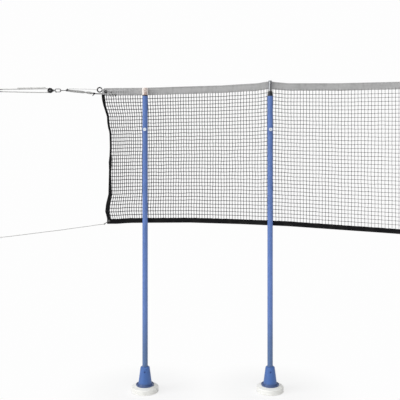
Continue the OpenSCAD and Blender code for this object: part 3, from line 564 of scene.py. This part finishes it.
u, v = np.meshgrid(np.arange(NET_COLUMNS + 1) / NET_COLUMNS, np.arange(NET_ROWS + 1) / NET_ROWS)
crossings = net_grid(u, v)
hold = (np.minimum(1, 6 * v * (1 - v)) * np.minimum(1, 12 * u * (1 - u)))[..., None]
jitter = xyz(smooth_noise(u.shape, (12, 36), 1) * 0.0012, smooth_noise(u.shape, (5, 9), 2) * 0.0015,
             smooth_noise(u.shape, (12, 36), 3) * 0.0012)
jitter += np.random.default_rng(4).normal(0, 0.00025, jitter.shape)
crossings = crossings + hold * jitter
SIDE_IN = 0.002  # how far in the side tapes' folds the outer uprights lie
crossings[:, 0, 0] += SIDE_IN
crossings[:, -1, 0] -= SIDE_IN


def strand_between(knots, shares, bow, seed):
    """Paths through rows of knots, with points at shares of each mesh, bowed a little between the knots."""
    start, step = knots[:, :-1, None], np.diff(knots, axis=1)[:, :, None]
    t = np.array(shares)[:, None]
    aside = np.random.default_rng(seed).normal(0, bow, (*start.shape[:2], 1, 3))
    path = start + step * t + aside * np.sin(np.pi * t)
    return np.concatenate([path.reshape(len(knots), -1, 3), knots[:, -1:]], axis=1)


BOW = 0.0003
QUARTERS = (0, 0.25, 0.5, 0.75)
IN_FOLD = np.array([0, 0, 0.006])  # how far the uprights run up into the tape and down into the hem
twine = rope_finish("twisted nylon net twine, black, faded", "#464648", "#343436", fibre_mm=0.2)
uprights = strand_between(crossings.transpose(1, 0, 2), QUARTERS, BOW, 5)
uprights = np.concatenate([uprights[:, :1] + IN_FOLD, uprights, uprights[:, -1:] - IN_FOLD], axis=1)
rows = strand_between(crossings[1:-1], QUARTERS, BOW, 6)


def twine_d(paths):
    """Thickness of the twine at each point: drawn together at the left, it lies fuller there."""
    return np.interp(paths[..., 0], [NET_LEFT, NET_RIGHT], [TWINE_D_LEFT, TWINE_D_RIGHT])[..., None]


t = np.linspace(0, 2 * np.pi, 12, endpoint=False) + 0.2
KNOT_SIZE = 0.85  # half the width of a knot's curve, as a share of the twine's thickness
knots = crossings[1:-1, 1:-1].transpose(1, 0, 2).reshape(-1, 1, 3)
knots = knots + trefoil(t, 1.3) / 3 * KNOT_SIZE * twine_d(knots)
for name, paths, share, sides in (("uprights", uprights, 0.5, 5), ("rows", rows, 0.5, 5),
                                  ("knots", knots, 0.4, 4)):
    closed = name == "knots"
    for side, part in zip(("low", "high"), np.array_split(paths, 2)):
        up = part - part.mean(1, keepdims=True) + 1e-6 if closed else (0, 1, 0)
        new_tube(f"netting_{name}_{side}", twine, part,
                                lambda s, a: twine_d(part) * share, sides, up=up, closed=closed)
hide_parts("netting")

# ---- Top tape ----
# Grey woven polyester tape, folded over the netting's upper edge and a cord, and sewn in two rows.
# It is thin enough for the netting in it to show as dark spots, at its left end and along its lower edge.
# Black lacing ties the netting to its left end, and cords are knotted in the two left eyelets.
LEAF = 0.0006
TAPE_HALF = 0.002
PINCH = 0.0011
STITCH_IN = 0.0062  # the inner row of stitches, from the fold
STITCH_OUT = 0.004  # the outer row, from the tape's free edge
CORNER_CUT = 0.009
CORNER_RUN = 0.012


def new_cloth(name, finish, middle, thickness, keep=None, soil=None):
    """A shell round a grid of points: point = middle +- thickness / 2 * normal, with only the cells in keep.

    The corner UVs are the distances along the two sides of the grid, in metres."""
    normal = unit(np.cross(np.gradient(middle, axis=0), np.gradient(middle, axis=1)))
    n, m = middle.shape[:2]
    points = np.concatenate([(middle + side * thickness / 2 * normal).reshape(-1, 3) for side in (1, -1)])
    i, j = np.meshgrid(np.arange(n - 1), np.arange(m - 1), indexing="ij")
    cells = np.stack([i * m + j, (i + 1) * m + j, (i + 1) * m + j + 1, i * m + j + 1], axis=-1)
    cells = cells.reshape(-1, 4) if keep is None else cells[keep]
    start, stop = cells.ravel(), np.roll(cells, -1, axis=1).ravel()
    rim = ~np.isin(start * n * m + stop, stop * n * m + start)
    start, stop = start[rim], stop[rim]
    walls = np.stack([stop, start, start + n * m, stop + n * m], axis=-1)
    quads = np.concatenate([cells, cells[:, ::-1] + n * m, walls])
    at = np.stack([lengths_along(middle.transpose(1, 0, 2)).T, lengths_along(middle)], axis=-1).reshape(-1, 2)
    values = {} if soil is None else {"soil": np.tile(soil.ravel(), 2)}
    return new_piece(name, finish, points, quads, uv=np.concatenate([at, at])[quads.ravel()], values=values)


def woven_finish(name, colour, dark, thread_mm, rough=0.85, streaks=0.12, sheen=0.2, specular=0.5):
    """Woven cloth: over-and-under threads as bump and tint, faint streaks along the warp, and a dark stain
    where the attribute soil says. The streaks are 1.4 mm wide and 170 mm long."""
    finish, tree, surface = new_finish(name, {"IOR": 1.5, "Specular IOR Level": specular,
                                              "Sheen Weight": sheen, "Sheen Roughness": 0.5})
    along = add_node(tree, "UVMap", uv_map="along")
    size = np.pi * 1000 / thread_mm
    turned = add_node(tree, "Mapping", {"Vector": along, "Scale": (size, size, 1)})
    part = add_node(tree, "SeparateXYZ", {0: turned})
    warp = add_node(tree, "Math", {0: part.outputs[0]}, operation="SINE")
    weft = add_node(tree, "Math", {0: part.outputs[1]}, operation="SINE")
    weave = add_node(tree, "Math", {0: warp, 1: weft}, operation="MULTIPLY")
    run = add_node(tree, "Mapping", {"Vector": along, "Scale": (6, 700, 1)})
    streak = add_node(tree, "TexNoise", {"Vector": run, "Scale": 1, "Detail": 4, "Roughness": 0.6})
    tone = add_node(tree, "MapRange", {"Value": streak, "From": (0.3, 0.7),
                                       "To": (1 - streaks, 1 + streaks)})
    knit = add_node(tree, "MapRange", {"Value": weave, "From": (-1, 1), "To": (0.9, 1.08)})
    soil = add_node(tree, "Attribute", attribute_name="soil").outputs["Fac"]
    base = add_node(tree, "Mix", {"Factor": soil, "A": linear(colour), "B": linear(dark)}, data_type="RGBA")
    first = add_node(tree, "VectorMath", {0: base, 1: tone}, operation="MULTIPLY")
    second = add_node(tree, "VectorMath", {0: first, 1: knit}, operation="MULTIPLY")
    roughness = add_node(tree, "MapRange", {"Value": streak, "To": (rough - 0.08, rough + 0.08)})
    bump = add_node(tree, "Bump", {"Height": weave, "Strength": 0.4, "Distance": thread_mm / 5000})
    set_inputs(surface, {"Base Color": second, "Roughness": roughness, "Normal": bump})
    return finish


def corner_cut(x, z):
    """Heights on the top tape, drawn down towards its foot where its upper left corner is cut off."""
    foot = height_of(TOP_EDGE, x) - TAPE_H
    cut = CORNER_CUT * np.clip(1 - (x - NET_LEFT) / CORNER_RUN, 0, 1) ** 1.3
    return foot + (z - foot) * (1 - cut / TAPE_H)


def folded_tape(edge, sign, height, x, ripple, seed):
    """Middle of a tape folded over an edge: a half circle round the cord, then two leaves that close in at
    each row of stitches and follow it in small puckers. sign is 1 where the fold is on top.

    Returns the grid of points, and each point's depth from the fold."""
    straight = np.linspace(height, TAPE_HALF, 17)
    around = np.linspace(0, np.pi, 9)[1:-1]
    depth = np.concatenate([straight, TAPE_HALF * (1 - np.sin(around)), straight[::-1]])
    row_far = height - STITCH_OUT
    half = np.interp(straight, [TAPE_HALF, 0.0045, STITCH_IN, 0.012, row_far - 0.006, row_far, height],
                     [TAPE_HALF, 0.0015, PINCH, 0.0016, 0.0017, PINCH, 0.0013])
    y = np.concatenate([-half, -TAPE_HALF * np.cos(around), half[::-1]])
    shape = (len(x), len(depth))
    pucker = smooth_noise(shape, (len(x) // 3, 8), seed) * ripple
    near_row = sum(np.exp(-(((depth - d) / 0.004) ** 2)) for d in (STITCH_IN, row_far))
    bulge = smooth_noise(shape, (len(x) // 18, 4), seed + 1) * ripple * 1.5
    y = y + np.sign(y) * (pucker * near_row * 0.5 + bulge * (1 - near_row).clip(0)) * (depth > TAPE_HALF)
    scallop = smooth_noise((len(x), 2), (len(x) // 7, 1), seed + 2)[:, :1] * 0.0006 * (depth / height) ** 4
    z = height_of(edge, x)[:, None] - sign * (depth - scallop)
    return xyz(x[:, None], NET_Y + y, z), np.broadcast_to(depth, shape)


def outside_holes(middle, centres, radius):
    """Cells of a grid whose middle is further than the radius from every centre (x, z)."""
    cell = (middle[:-1, :-1] + middle[1:, 1:]) / 2
    return np.all([np.hypot(cell[..., 0] - x, cell[..., 2] - z) > radius for x, z in centres], axis=0)


def stitches(name, finish, line, outward, length=0.0028, gap=0.0012, thread=0.0004):
    """A row of lockstitches: short arcs of thread along a line of points, each dipping in at its ends."""
    at = lengths_along(line)
    starts = np.arange(0, at[-1] - length, length + gap)
    where = starts[:, None] + np.linspace(0, length, 6)
    path = np.stack([np.interp(where, at, line[:, k]) for k in range(3)], axis=-1)
    rise = (np.sin(np.pi * np.linspace(0, 1, 6)) - 0.4) * thread
    path = path + np.asarray(outward) * rise[:, None]
    return new_tube(name, finish, path, plain(thread), 5, up=outward)


EYELETS = ((-0.199, 1.497), (-0.183, 0.84825), (1.336, 1.539), (1.336, 0.79025))
EYELET_CUT = 0.0062
tape_weave = woven_finish("grey woven polyester tape", "#b4b4b4", "#3e3e40", 0.7, streaks=0.2, sheen=0.05)
along_tape = np.linspace(NET_LEFT, NET_RIGHT, 960)
tape_middle, tape_depth = folded_tape(TOP_EDGE, 1, TAPE_H, along_tape, 0.0004, 11)
tape_middle[..., 2] = corner_cut(tape_middle[..., 0], tape_middle[..., 2])
MESH_W, MESH_H = 0.0135, 0.018
TWINE_SHOWN = 0.0013
KNOT_SHOWN = 0.0032
END_SHOWN = 0.11  # how far from the tape's left end all of the netting in it shows
column = np.log((tape_middle[..., 0] + SPACING_ORIGIN) / FIRST_COLUMN) / np.log(LAST_COLUMN / FIRST_COLUMN)
column = column * NET_COLUMNS
row = (TAPE_H - tape_depth) / MESH_H
off_column = np.abs(column - np.round(column)) * MESH_W
off_row = np.abs(row - np.round(row)) * MESH_H
on_upright = np.exp(-((off_column / TWINE_SHOWN) ** 2)) * 0.6
on_row = np.exp(-((off_row / TWINE_SHOWN) ** 2)) * 0.5
on_knot = np.exp(-((np.hypot(off_column, off_row) / KNOT_SHOWN) ** 2))
spots = np.maximum(np.maximum(on_upright, on_row), on_knot)
at_end = np.clip(1 - (tape_middle[..., 0] - NET_LEFT - END_SHOWN) / 0.05, 0, 1)
at_end = at_end * np.clip((tape_depth - 0.008) / 0.01, 0.2, 1)
at_foot = np.clip((tape_depth - 0.025) / 0.005, 0, 1) * 0.9
at_foot = at_foot * (0.75 + 0.4 * smooth_noise(tape_depth.shape, (70, 2), 14))
worn = smooth_noise(tape_depth.shape, (150, 3), 15).clip(0) * 0.16
worn = worn + smooth_noise(tape_depth.shape, (9, 5), 16).clip(0) * 0.12
top_tape = new_cloth("top_tape_folded", tape_weave, tape_middle, LEAF,
                     keep=outside_holes(tape_middle, EYELETS, EYELET_CUT),
                     soil=np.maximum(spots * np.maximum(at_end, at_foot), worn))
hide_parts("top_tape")
grey_thread = rope_finish("grey polyester thread", "#c4c4c4", "#8a8a8a", fibre_mm=0.1)


def stitch_rows(name, finish, edge, sign, height):
    """Two rows of stitches on each leaf of a folded tape, just outside its faces."""
    made = []
    for row, depth in enumerate((STITCH_IN, height - STITCH_OUT)):
        x = np.linspace(NET_LEFT + CORNER_RUN if sign > 0 else HEM_LEFT, NET_RIGHT, 500)[2:-2]
        for side, face in (("front", -1), ("back", 1)):
            line = xyz(x, NET_Y + face * (PINCH + LEAF / 2), height_of(edge, x) - sign * depth)
            made.append(stitches(f"{name}_{row}_{side}", finish, line, (0, face, 0)))
    return made


tape_stitches = stitch_rows("tape_stitches", grey_thread, TOP_EDGE, 1, TAPE_H)
LACING_D = 0.0022
LACING_OUT = 0.0037
# Each turn of the lacing: its middle's x and z, and its reach along the tape or up and down it.
LACING = ((-0.196, 1.478, 0, 0.006), (-0.177, 1.48, 0, 0.0075), (-0.1645, 1.48, 0, 0.0075),
          (-0.1515, 1.48, 0, 0.0075), (-0.1707, 1.4945, 0.0062, 0), (-0.2115, 1.478, 0, 0.0045))
t = np.linspace(0, 2 * np.pi, 48, endpoint=False)
lacing_path = np.stack([xyz(x + half_x * np.cos(t), NET_Y + LACING_OUT * np.sin(t), z + half_z * np.cos(t))
                        for x, z, half_x, half_z in LACING])
lacing = new_tube("corner_lacing", black_cord, lacing_path, plain(LACING_D), 8,
                  up=lacing_path - lacing_path.mean(1, keepdims=True), closed=True)
EYELET_KNOT_Y = NET_Y - 0.0036
eyelet_knots = [knot(f"lacing_knot_{k}", dark_rope, (x, EYELET_KNOT_Y, z), size=0.0064, rope_d=0.0036,
                     turn=1.0) for k, (x, z) in enumerate(EYELETS[:2])]

# ---- Ring tab ----
# A narrow tab of the same webbing goes through the corner ring, with a leg on each face of the tape.
# It is folded close round the ring's wire.
TAB_RIGHT = -0.208
TAB_FOLD = -0.21835
TAB_Z = 1.507
TAB_W = 0.008
TAB_T = 0.001
tab_half = 0.0026 + TAB_T / 2  # half the tape's thickness and the fit on it, to the middle of the tab
bend = np.linspace(np.pi / 2, 3 * np.pi / 2, 13)
leg = np.linspace(TAB_RIGHT, TAB_FOLD, 8)[:-1]
tab_x = np.concatenate([leg, TAB_FOLD + tab_half * np.cos(bend), leg[::-1]])
tab_y = np.concatenate([np.full(7, tab_half), tab_half * np.sin(bend), np.full(7, -tab_half)])
tab_z = np.linspace(TAB_Z - TAB_W / 2, TAB_Z + TAB_W / 2, 7)
tab_middle = xyz(tab_x[:, None], NET_Y + tab_y[:, None], tab_z)
ring_tab = new_cloth("ring_tab_folded", tape_weave, tab_middle, TAB_T)
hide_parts("ring_tab")

# ---- Hem ----
# Black woven polyester tape, folded over the netting's lower edge and a second cord, sewn in two rows.
# It hangs a little loose, so it puckers more than the top tape.
black_weave = woven_finish("black woven polyester tape", "#141416", "#242322", 0.6, sheen=0.02, specular=0.12)
along_hem = np.linspace(HEM_LEFT, NET_RIGHT, 930)
hem_middle, hem_depth = folded_tape(BOTTOM_EDGE, -1, HEM_H, along_hem, 0.0005, 21)
hem_dust = smooth_noise(hem_depth.shape, (60, 3), 23).clip(0) * 0.8
bottom_hem = new_cloth("bottom_hem_folded", black_weave, hem_middle[:, ::-1], LEAF,
                       keep=outside_holes(hem_middle[:, ::-1], EYELETS, EYELET_CUT), soil=hem_dust)
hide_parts("bottom_hem")
black_thread = rope_finish("black polyester thread", "#29292b", "#161618", fibre_mm=0.1)
hem_stitches = stitch_rows("hem_stitches", black_thread, BOTTOM_EDGE, -1, HEM_H)

# ---- Side tapes ----
# Narrow black tape folded round each side of the netting and sewn in one row.
# The left one follows the netting's drawn-in side, and is wider where it is gathered towards the hem.
SIDE_W = 0.011
LEFT_W = 0.0145
LEFT_ROOM = 0.0028
RIGHT_ROOM = 0.0018
LEFT_WIDTHS = ((0, 0.0155), (0.05, 0.0155), (0.1, 0.0105), (0.46, 0.0085), (0.52, 0.0145), (0.56, 0.0145),
               (0.62, 0.011), (0.8, 0.0165), (0.93, 0.0195), (1, 0.0165))
OVER_KNOTS = 0.0006  # how much further out the left tape goes round the top tape's and the hem's ends


def side_fold(edge_x, z, facing, width, room, seed):
    """Middle of a tape folded round an upright edge. facing is 1 where the netting lies towards +X.

    Its two leaves run from the fold for the width, each about room from the plane of the netting."""
    share = np.concatenate([np.linspace(1, 0.12, 8), [0, 0, 0], np.linspace(0.12, 1, 8)])
    half = room * np.interp(share, [0, 0.12, 0.3, 0.7, 1], [0, 0.9, 0.92, 1, 0.95])
    half[8:11] = 0.001
    y = half * np.concatenate([-np.ones(9), [0], np.ones(9)])
    shape = (len(z), len(share))
    crease = smooth_noise(shape, (len(z) // 5, 3), seed) * 0.0005
    x = edge_x[:, None] + facing * (share * width[:, None] + 0.0003)
    return xyz(x + crease * 0.4, NET_Y + y + crease * np.sign(y), z[:, None])


down = np.linspace(-0.008, 1.012, 420)
left_edge = net_grid(np.zeros_like(down), down)
left_width = np.interp(down, *np.array(LEFT_WIDTHS).T)
left_middle = side_fold(left_edge[:, 0], left_edge[:, 2], 1, left_width, LEFT_ROOM, 31)
over_ends = np.clip((np.abs(down - 0.497) - 0.488) / 0.012, 0, 1)[:, None]
left_middle[..., 1] += np.sign(left_middle[..., 1] - NET_Y) * OVER_KNOTS * over_ends
down = np.linspace(0.003, 0.995, 420)
right_edge = net_grid(np.ones_like(down), down)
right_middle = side_fold(right_edge[:, 0], right_edge[:, 2], -1, np.full_like(down, SIDE_W), RIGHT_ROOM, 33)
side_dust = smooth_noise(left_middle.shape[:2], (40, 3), 32).clip(0) * 0.7
for side, facing, edge, middle, face, flat in (
        ("left", 1, left_edge, left_middle[:, ::-1], 0.92 * LEFT_ROOM, (0.67, 2 * LEFT_W)),
        ("right", -1, right_edge, right_middle, 0.93 * RIGHT_ROOM, (0.71, 2 * SIDE_W))):
    tape = new_cloth(f"{side}_side_tape_folded", black_weave, middle, LEAF, soil=side_dust)
    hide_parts(f"{side}_side_tape")
    line = xyz(edge[:, 0] + facing * STITCH_OUT, NET_Y - face - LEAF / 2, edge[:, 2])
    sewn = stitches(f"{side}_side_stitches", black_thread, line, (0, -1, 0))

# ---- Edge cords ----
# A thin laid cord in the fold of the tape and another in the hem take the net's pull.
# They show only at the net's ends, where each comes out of its fold.
EDGE_CORD_D = 0.003
EDGE_CORD_IN = 0.0023
for name, edge, sign, start in (("top_cord", TOP_EDGE, -1, NET_LEFT + CORNER_RUN),
                                ("bottom_cord", BOTTOM_EDGE, 1, HEM_LEFT)):
    x = np.linspace(start, NET_RIGHT, 640)
    path = xyz(x, NET_Y, height_of(edge, x) + sign * EDGE_CORD_IN)
    cord = new_tube(name, pale_rope, path, laid(EDGE_CORD_D, 0.011), 12)
    if sign < 0:
        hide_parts("edge_cords")

# ---- Eyelets ----
# Pressed eyelets in the net's four corners, with a rolled rim on each face.
# They are brass, blackened against glare, which shows through in spots.
black_brass = worn_metal("blackened brass", "#3c3b39", "#242322", 0.45, spot="#6a5a3a", metallic=0.7)
dress(black_brass, "corner_eyelets")

# ---- Pole pocket ----
# A pocket of cream cotton webbing sewn to the tape, which drops over the left pole's end.
# Its closed top takes the pull, so it is drawn tight over the pole, and its front is a mottled darker brown
# down the middle.
POCKET_R = 0.0139
POCKET_T = 0.0014
POCKET_FOOT = 1.48
POCKET_TOP = 1.516
BACK_Y = 0.0134  # from the pole's axis to the middle of the webbing that lies on the tape
POCKET_CROWN = 0.0025
UP, OVER, AROUND = 24, 8, 61  # points up the pocket, over its closed top and round the pole
POCKET_GRID = (UP + OVER, AROUND)
wrap = np.linspace(0, 1, AROUND)
straight = BACK_Y / (2 * BACK_Y + np.pi * POCKET_R)
angle = np.pi * np.clip((wrap - straight) / (1 - 2 * straight), 0, 1)
wrap_x = -POCKET_R * np.cos(angle)
wrap_y = -POCKET_R * np.sin(angle) + BACK_Y * (np.clip(1 - wrap / straight, 0, 1)
                                               + np.clip(1 - (1 - wrap) / straight, 0, 1))
shoulder = POCKET_TOP - POCKET_CROWN
draw = np.concatenate([np.zeros(UP), np.linspace(0, 1, OVER + 1)[1:]])
rise = np.concatenate([np.linspace(POCKET_FOOT, shoulder, UP), np.full(OVER, shoulder)])
rise = rise + POCKET_CROWN * np.sin(np.pi / 2 * np.clip(draw * 2.5, 0, 1))
slack = smooth_noise(POCKET_GRID, (7, 9), 41) * 0.0005 * (1 - draw[:, None])
size = 1 - 0.985 * np.clip((draw[:, None] - 0.06) / 0.94, 0, 1)
pocket = xyz(wrap_x * size * (1 + slack / POCKET_R), wrap_y * np.where(wrap_y < 0, size, 1) + slack,
             rise[:, None])
cream = woven_finish("cream cotton webbing", "#f2ebe6", "#a6877a", 1.1, rough=0.9, streaks=0.06)
# A mottled darker brown band down the middle of the pocket's front.
darker_middle = smooth_noise(POCKET_GRID, (10, 14), 42).clip(-0.3) + 0.3
darker_middle = (0.35 + darker_middle) * np.exp(-(((wrap - 0.53) / 0.13) ** 4))
pole_pocket = new_cloth("pole_pocket_sewn", cream, pocket, POCKET_T, soil=darker_middle.clip(0, 1))
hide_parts("pole_pocket")

# ---- Poles ----
# Steel tube with a blue powder coat, which flows into a faint orange peel and is scuffed in fine streaks.
# A chromed inner tube slides in it, through a black guide collar.
# A spring clip of plated wire hangs the net on the right one's cap.


def powder_coat(name, colour, deep, chip):
    """Powder coat with orange peel, rubbed streaks, chips down to the primer, and a greyer, darker blue
    towards the ground.
    """
    finish, tree, surface = new_finish(name, {"IOR": 1.5, "Coat Weight": 0.15, "Coat Roughness": 0.25})
    place = add_node(tree, "TexCoord").outputs["Object"]
    peel = add_node(tree, "TexNoise", {"Vector": place, "Scale": 420, "Detail": 1})  # 2.4 mm
    cloud = add_node(tree, "TexNoise", {"Vector": place, "Scale": 14, "Detail": 4,  # 71 mm
                                        "Roughness": 0.6})
    tall = add_node(tree, "Mapping", {"Vector": place, "Scale": (900, 900, 12)})  # 1.1 mm by 83 mm
    rub = add_node(tree, "TexNoise", {"Vector": tall, "Scale": 1, "Detail": 3, "Roughness": 0.7})
    mixed = add_node(tree, "MapRange", {"Value": cloud, "From": (0.35, 0.65)})
    base = add_node(tree, "Mix", {"Factor": mixed, "A": linear(deep), "B": linear(colour)},
                    data_type="RGBA")
    specks = add_node(tree, "TexNoise", {"Vector": place, "Scale": 230, "Detail": 4,  # 4.3 mm
                                         "Roughness": 0.75})
    chipped = add_node(tree, "MapRange", {"Value": specks, "From": (0.71, 0.74), "To Max": 0.8})
    colour = add_node(tree, "Mix", {"Factor": chipped, "A": base, "B": linear(chip)}, data_type="RGBA")
    # Greyer, darker blue below 0.45 m, strongest from 0.15 m down.
    height = add_node(tree, "SeparateXYZ", {0: place}).outputs[2]
    darker_low = add_node(tree, "MapRange", {"Value": height, "From": (0.15, 0.45), "To": (0.7, 0.0)},
                        interpolation_type="SMOOTHSTEP")
    colour = add_node(tree, "Mix", {"Factor": darker_low, "A": colour,
                                    "B": linear("#4b6484")}, data_type="RGBA")
    scuffed = add_node(tree, "MapRange", {"Value": rub, "From": (0.35, 0.75), "To": (0.3, 0.48)})
    bump = add_node(tree, "Bump", {"Height": peel, "Strength": 0.12, "Distance": 0.0002})
    set_inputs(surface, {"Base Color": colour, "Roughness": scuffed, "Normal": bump, "Coat Normal": bump})
    return finish


blue_coat = powder_coat("blue powder-coated steel", "#5d7bbb", "#5573b0", "#a9b2bd")
dress(blue_coat, *both("outer_tube", "clamp_boss"))
chrome = worn_metal("bright chromed steel", "#cfd1d4", "#bcbec2", 0.18, cloud_mm=20)
dress(chrome, *both("inner_tube", "inner_cap"), "pole_clip")
collar_nylon = moulded_plastic("black glass-filled nylon", "#1a1d22", 0.34, soil="#3c4048")
dress(collar_nylon, *both("collar", "inner_bush", "tube_plug"))

# ---- Height clamps ----
# A white moulded knob with a dished face turns a steel screw through a boss welded on the tube.
# The screw presses a nylon tip on the inner tube.
knob_plastic = moulded_plastic("white moulded ABS, bluish", "#dfe8f6", 0.35, soil="#7d95bd", soil_share=0.5)
dress(knob_plastic, *both("clamp_knob"))
dress(rubbed_zinc, *both("clamp_screw"))
dress(collar_nylon, *both("clamp_tip"))

# ---- Bases ----
# A white moulded disc over a cast iron weight, on a rubber pad.
# A blue moulded cone is pushed over the tube's foot and held by a set screw.
shell_plastic = moulded_plastic("white moulded polypropylene", "#e5e5e1", 0.4, soil="#a5a29a", soil_share=0.1)
dress(shell_plastic, *both("base_disc"))
# Below 50 mm the cone darkens towards its lip: painted shade and dust.
cone_plastic = moulded_plastic("blue moulded polypropylene", "#4267a7", 0.36, soil="#45557a", soil_share=0.4,
                               foot=(0.036, 0.05))
dress(cone_plastic, *both("base_cone"))
pad_rubber = moulded_plastic("black moulded rubber", "#242426", 0.75, soil="#55524d", soil_share=0.5)
dress(pad_rubber, *both("base_pad"))
cast_iron = worn_metal("cast iron, oiled", "#4a4a4c", "#2f2f31", 0.6, spot="#5d3f2c", metallic=0.8)
dress(cast_iron, *both("base_core"))
dress(rubbed_zinc, "base_bolts")
blue_paint = worn_metal("blue-painted steel", "#2f5090", "#243f78", 0.5, metallic=0.1)
dress(blue_paint, "base_screws")

# ---- Floor, backdrop and light ----
# A pale floor and world that show white to the camera, with a low soft sun at the left, and a higher and
# softer one in front. The floor keeps the object's shadow close to the bases.
FLOOR_HALF = 8.0
FLOOR_Z = -0.0005
POLES_X = (0, 0.625)
floor_mesh = bpy.data.meshes.new("floor")
corners = [(x * FLOOR_HALF, y * FLOOR_HALF, FLOOR_Z) for x, y in ((-1, -1), (1, -1), (1, 1), (-1, 1))]
floor_mesh.from_pydata(corners, [], [(0, 1, 2, 3)])
floor = bpy.data.objects.new("floor", floor_mesh)
bpy.context.scene.collection.objects.link(floor)
floor_paint, tree, surface = new_finish("matt white floor", {
    "Base Color": linear("#f4f4f4"), "Roughness": 0.9, "Specular IOR Level": 0.2})
SHADOW_SHOWN = 0.3  # the share of the shadow that shows at the poles
SHADOW_REACH = 0.45  # how far from a pole the last of it is lost
WHITE = 0.985
place = add_node(tree, "TexCoord").outputs["Object"]
away = [add_node(tree, "VectorMath", {0: place, 1: (x, 0, 0)}, operation="DISTANCE") for x in POLES_X]
nearest = add_node(tree, "Math", {0: away[0], 1: away[1]}, operation="MINIMUM")
lost = add_node(tree, "MapRange", {"Value": nearest, "From": (0.1, SHADOW_REACH),
                                   "To": (1 - SHADOW_SHOWN, 1.0)}, interpolation_type="SMOOTHSTEP")
rays = add_node(tree, "LightPath").outputs
seen = add_node(tree, "Math", {0: rays["Is Camera Ray"], 1: rays["Is Glossy Ray"]}, operation="MAXIMUM")
seen = add_node(tree, "Math", {0: seen, 1: rays["Is Transmission Ray"]}, operation="MAXIMUM")
share = add_node(tree, "Math", {0: seen, 1: lost}, operation="MULTIPLY")
white = add_node(tree, "Emission", {"Color": (1, 1, 1, 1), "Strength": WHITE})
mixed = add_node(tree, "MixShader", {0: share, 1: surface, 2: white})
set_inputs(tree.nodes["Material Output"], {"Surface": mixed})
floor_mesh.materials.append(floor_paint)

# The camera sees white. A glossy surface sees a soft panel at the front left, and a backdrop that is
# brightest straight behind the net. Everything else is lit by the ambient level.
world = bpy.data.worlds.new("studio")
bpy.context.scene.world = world
world.use_nodes = True
tree = world.node_tree
AMBIENT = 0.34
rays = add_node(tree, "LightPath").outputs
direction = add_node(tree, "TexCoord").outputs["Generated"]
PANEL = (-0.79, -0.61, 0)
panel = add_node(tree, "VectorMath", {0: direction, 1: PANEL}, operation="DOT_PRODUCT")
panel = add_node(tree, "MapRange", {"Value": panel, "From": (0.8, 0.95), "To Max": 0.75},
                 interpolation_type="SMOOTHSTEP")
part = add_node(tree, "SeparateXYZ", {0: direction})
behind = add_node(tree, "MapRange", {"Value": part.outputs[1], "From": (0.3, 0.9), "To": (0.22, 0.9)})
mirror = add_node(tree, "Math", {0: panel, 1: behind}, operation="ADD")
shown = add_node(tree, "Math", {0: rays["Is Camera Ray"], 1: rays["Is Transmission Ray"]},
                 operation="MAXIMUM")
level = add_node(tree, "Mix", {"Factor": rays["Is Glossy Ray"], "A": AMBIENT, "B": mirror})
level = add_node(tree, "Mix", {"Factor": shown, "A": level, "B": WHITE})
set_inputs(tree.nodes["Background"], {"Strength": level, "Color": (1, 1, 1, 1)})

# Each sun: how many degrees it stands left of the camera and how high, its strength and its spread.
SUNS = {"key": (72, 26, 1.55, 36), "fill": (8, 52, 1.5, 70)}
for name, (left, high, strength, spread) in SUNS.items():
    lamp = bpy.data.lights.new(name, "SUN")
    lamp.energy = strength
    lamp.angle = np.radians(spread)
    sun = bpy.data.objects.new(name, lamp)
    sun.rotation_euler = (np.radians(90 - high), 0, -np.radians(left))
    bpy.context.scene.collection.objects.link(sun)

bpy.context.scene.view_settings.view_transform = "Standard"
